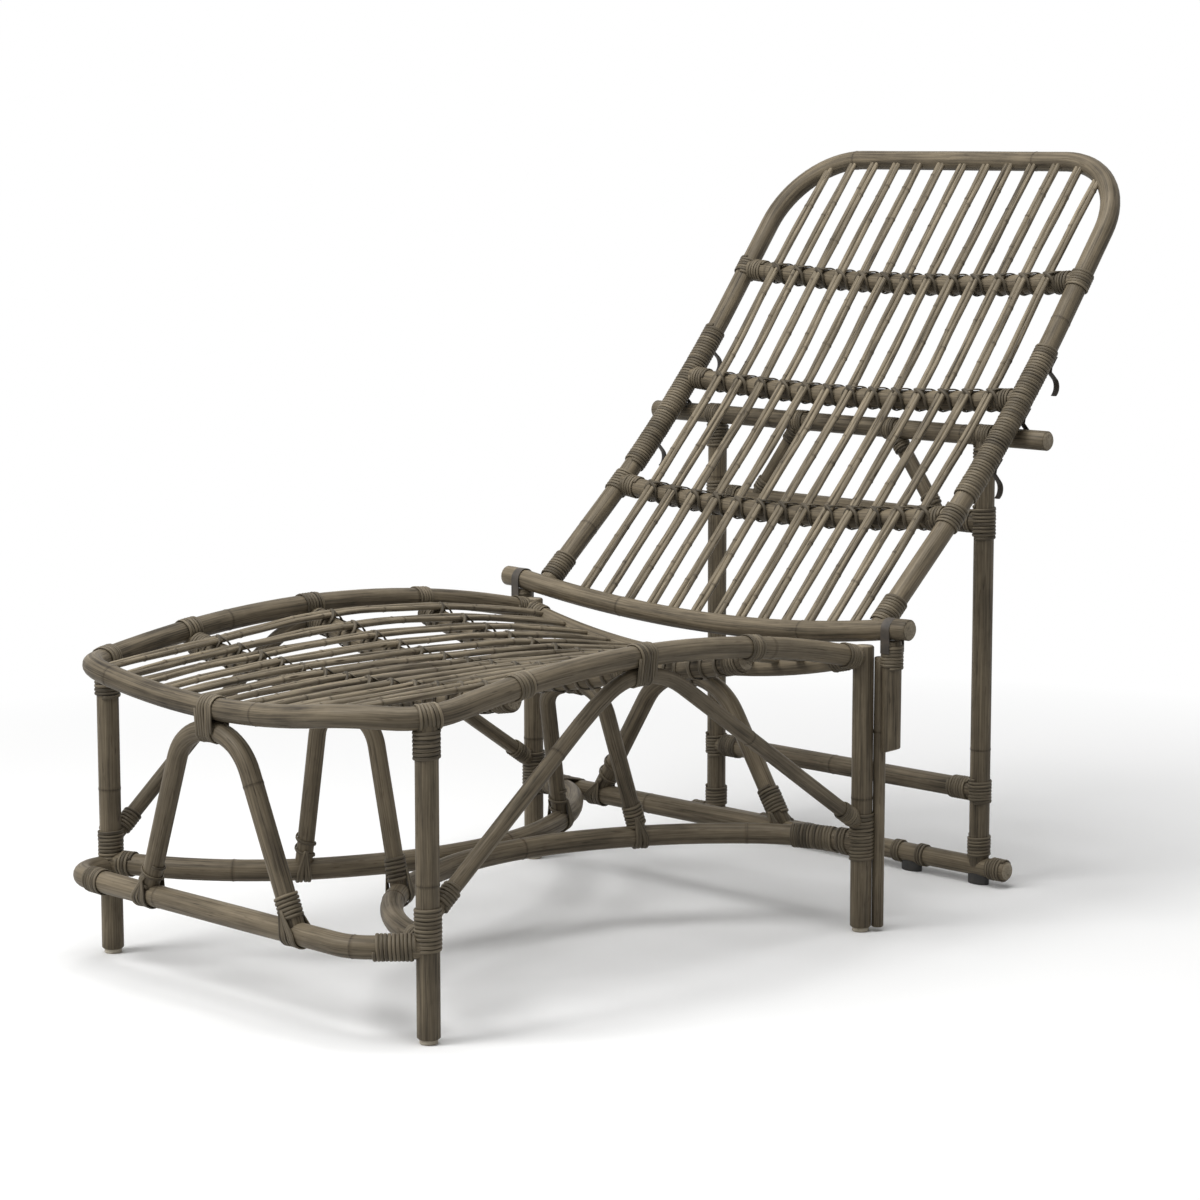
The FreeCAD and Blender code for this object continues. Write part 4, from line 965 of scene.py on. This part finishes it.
for side in SIDES:
    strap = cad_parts[side + "_hinge_strap"]
    strap.data.materials.clear()
    strap.data.materials.append(STRIP)

# Studio: a plain pale floor, soft light from above and in front, and a camera at the photo's angle.
# The camera sees floor and sky as white paper, but the light that they send on is dimmer.
FLOOR_SIZE, FLOOR_FADE, SKY_LIGHT = 30, (0.7, 2.0), 0.29
PAPER_DIM, PAPER_SEEN = (0.45, 0.45, 0.45, 1), (0.95, 0.95, 0.945, 1)
LIGHTS = (("overhead_light", (0.2, -0.6, 3.6), 2.2, 84), ("key_light", (-1.0, -3.2, 3.2), 1.8, 100))
LIT_PLACE = Vector((0, 0, 0.4))
LENS, CAMERA_PLACE, CAMERA_DIP, CAMERA_TURN = 97.3, (3.0004, -3.0825, 1.0420), 8.195, 44.69
floor_mesh = bpy.data.meshes.new("studio_floor")
floor_bm = bmesh.new()
bmesh.ops.create_grid(floor_bm, x_segments=1, y_segments=1, size=FLOOR_SIZE)
floor_bm.to_mesh(floor_mesh)
floor_bm.free()
floor = add_object("studio_floor", floor_mesh)


def background_rays(tree, make):
    """1 for the rays that show the background: from the camera, off a shiny surface or through glass."""
    path = make("ShaderNodeLightPath")
    shown = path.outputs["Is Camera Ray"]
    for name in ("Is Glossy Ray", "Is Transmission Ray"):
        either = make("ShaderNodeMath", operation="MAXIMUM")
        link_all(tree, ((shown, either.inputs[0]), (path.outputs[name], either.inputs[1])))
        shown = either.outputs[0]
    return shown


paper, tree, make, sheet = fresh_material("white_paper")
sheet.inputs["Roughness"].default_value = 0.9
seen = background_rays(tree, make)
where, far = make("ShaderNodeTexCoord"), make("ShaderNodeVectorMath", operation="LENGTH")
fade = make("ShaderNodeMapRange", in_1=FLOOR_FADE[0], in_2=FLOOR_FADE[1])
shown = make("ShaderNodeMath", operation="MULTIPLY")
glow, blend = make("ShaderNodeEmission"), make("ShaderNodeMixShader")
paper_tone = make("ShaderNodeMix", data_type="RGBA")
paper_tone.inputs[MIX_A].default_value = PAPER_DIM
paper_tone.inputs[MIX_B].default_value = PAPER_SEEN
link_all(tree, ((where.outputs["Object"], far.inputs[0]), (far.outputs["Value"], fade.inputs[0]),
                (seen, paper_tone.inputs[0]),
                (paper_tone.outputs[MIX_OUT], sheet.inputs["Base Color"]),
                (fade.outputs[0], shown.inputs[0]), (seen, shown.inputs[1]),
                (shown.outputs[0], blend.inputs[0]), (sheet.outputs[0], blend.inputs[1]),
                (glow.outputs[0], blend.inputs[2]),
                (blend.outputs[0], tree.nodes["Material Output"].inputs["Surface"])))
floor_mesh.materials.append(paper)
world = bpy.data.worlds.new("studio")
world.use_nodes = True
tree = world.node_tree
make = node_maker(tree)
sky = tree.nodes["Background"]
white, backdrop = make("ShaderNodeBackground", in_1=1.0), make("ShaderNodeMixShader")
sky.inputs["Color"].default_value = white.inputs["Color"].default_value = (1, 1, 1, 1)
sky.inputs["Strength"].default_value = SKY_LIGHT
link_all(tree, ((background_rays(tree, make), backdrop.inputs[0]), (sky.outputs[0], backdrop.inputs[1]),
                (white.outputs[0], backdrop.inputs[2]),
                (backdrop.outputs[0], tree.nodes["World Output"].inputs["Surface"])))
bpy.context.scene.world = world
for name, place, size, power in LIGHTS:
    lamp = bpy.data.lights.new(name, "AREA")
    lamp.size = size
    lamp.energy = power
    light = add_object(name, lamp)
    light.location = place
    light.rotation_euler = (LIT_PLACE - Vector(place)).to_track_quat("-Z", "Y").to_euler()
bpy.context.scene.view_settings.view_transform = "Standard"
camera = add_object("camera", bpy.data.cameras.new("camera"))
camera.data.lens = LENS
camera.location = CAMERA_PLACE
camera.rotation_euler = (math.radians(90 - CAMERA_DIP), 0, math.radians(CAMERA_TURN))
bpy.context.scene.camera = camera
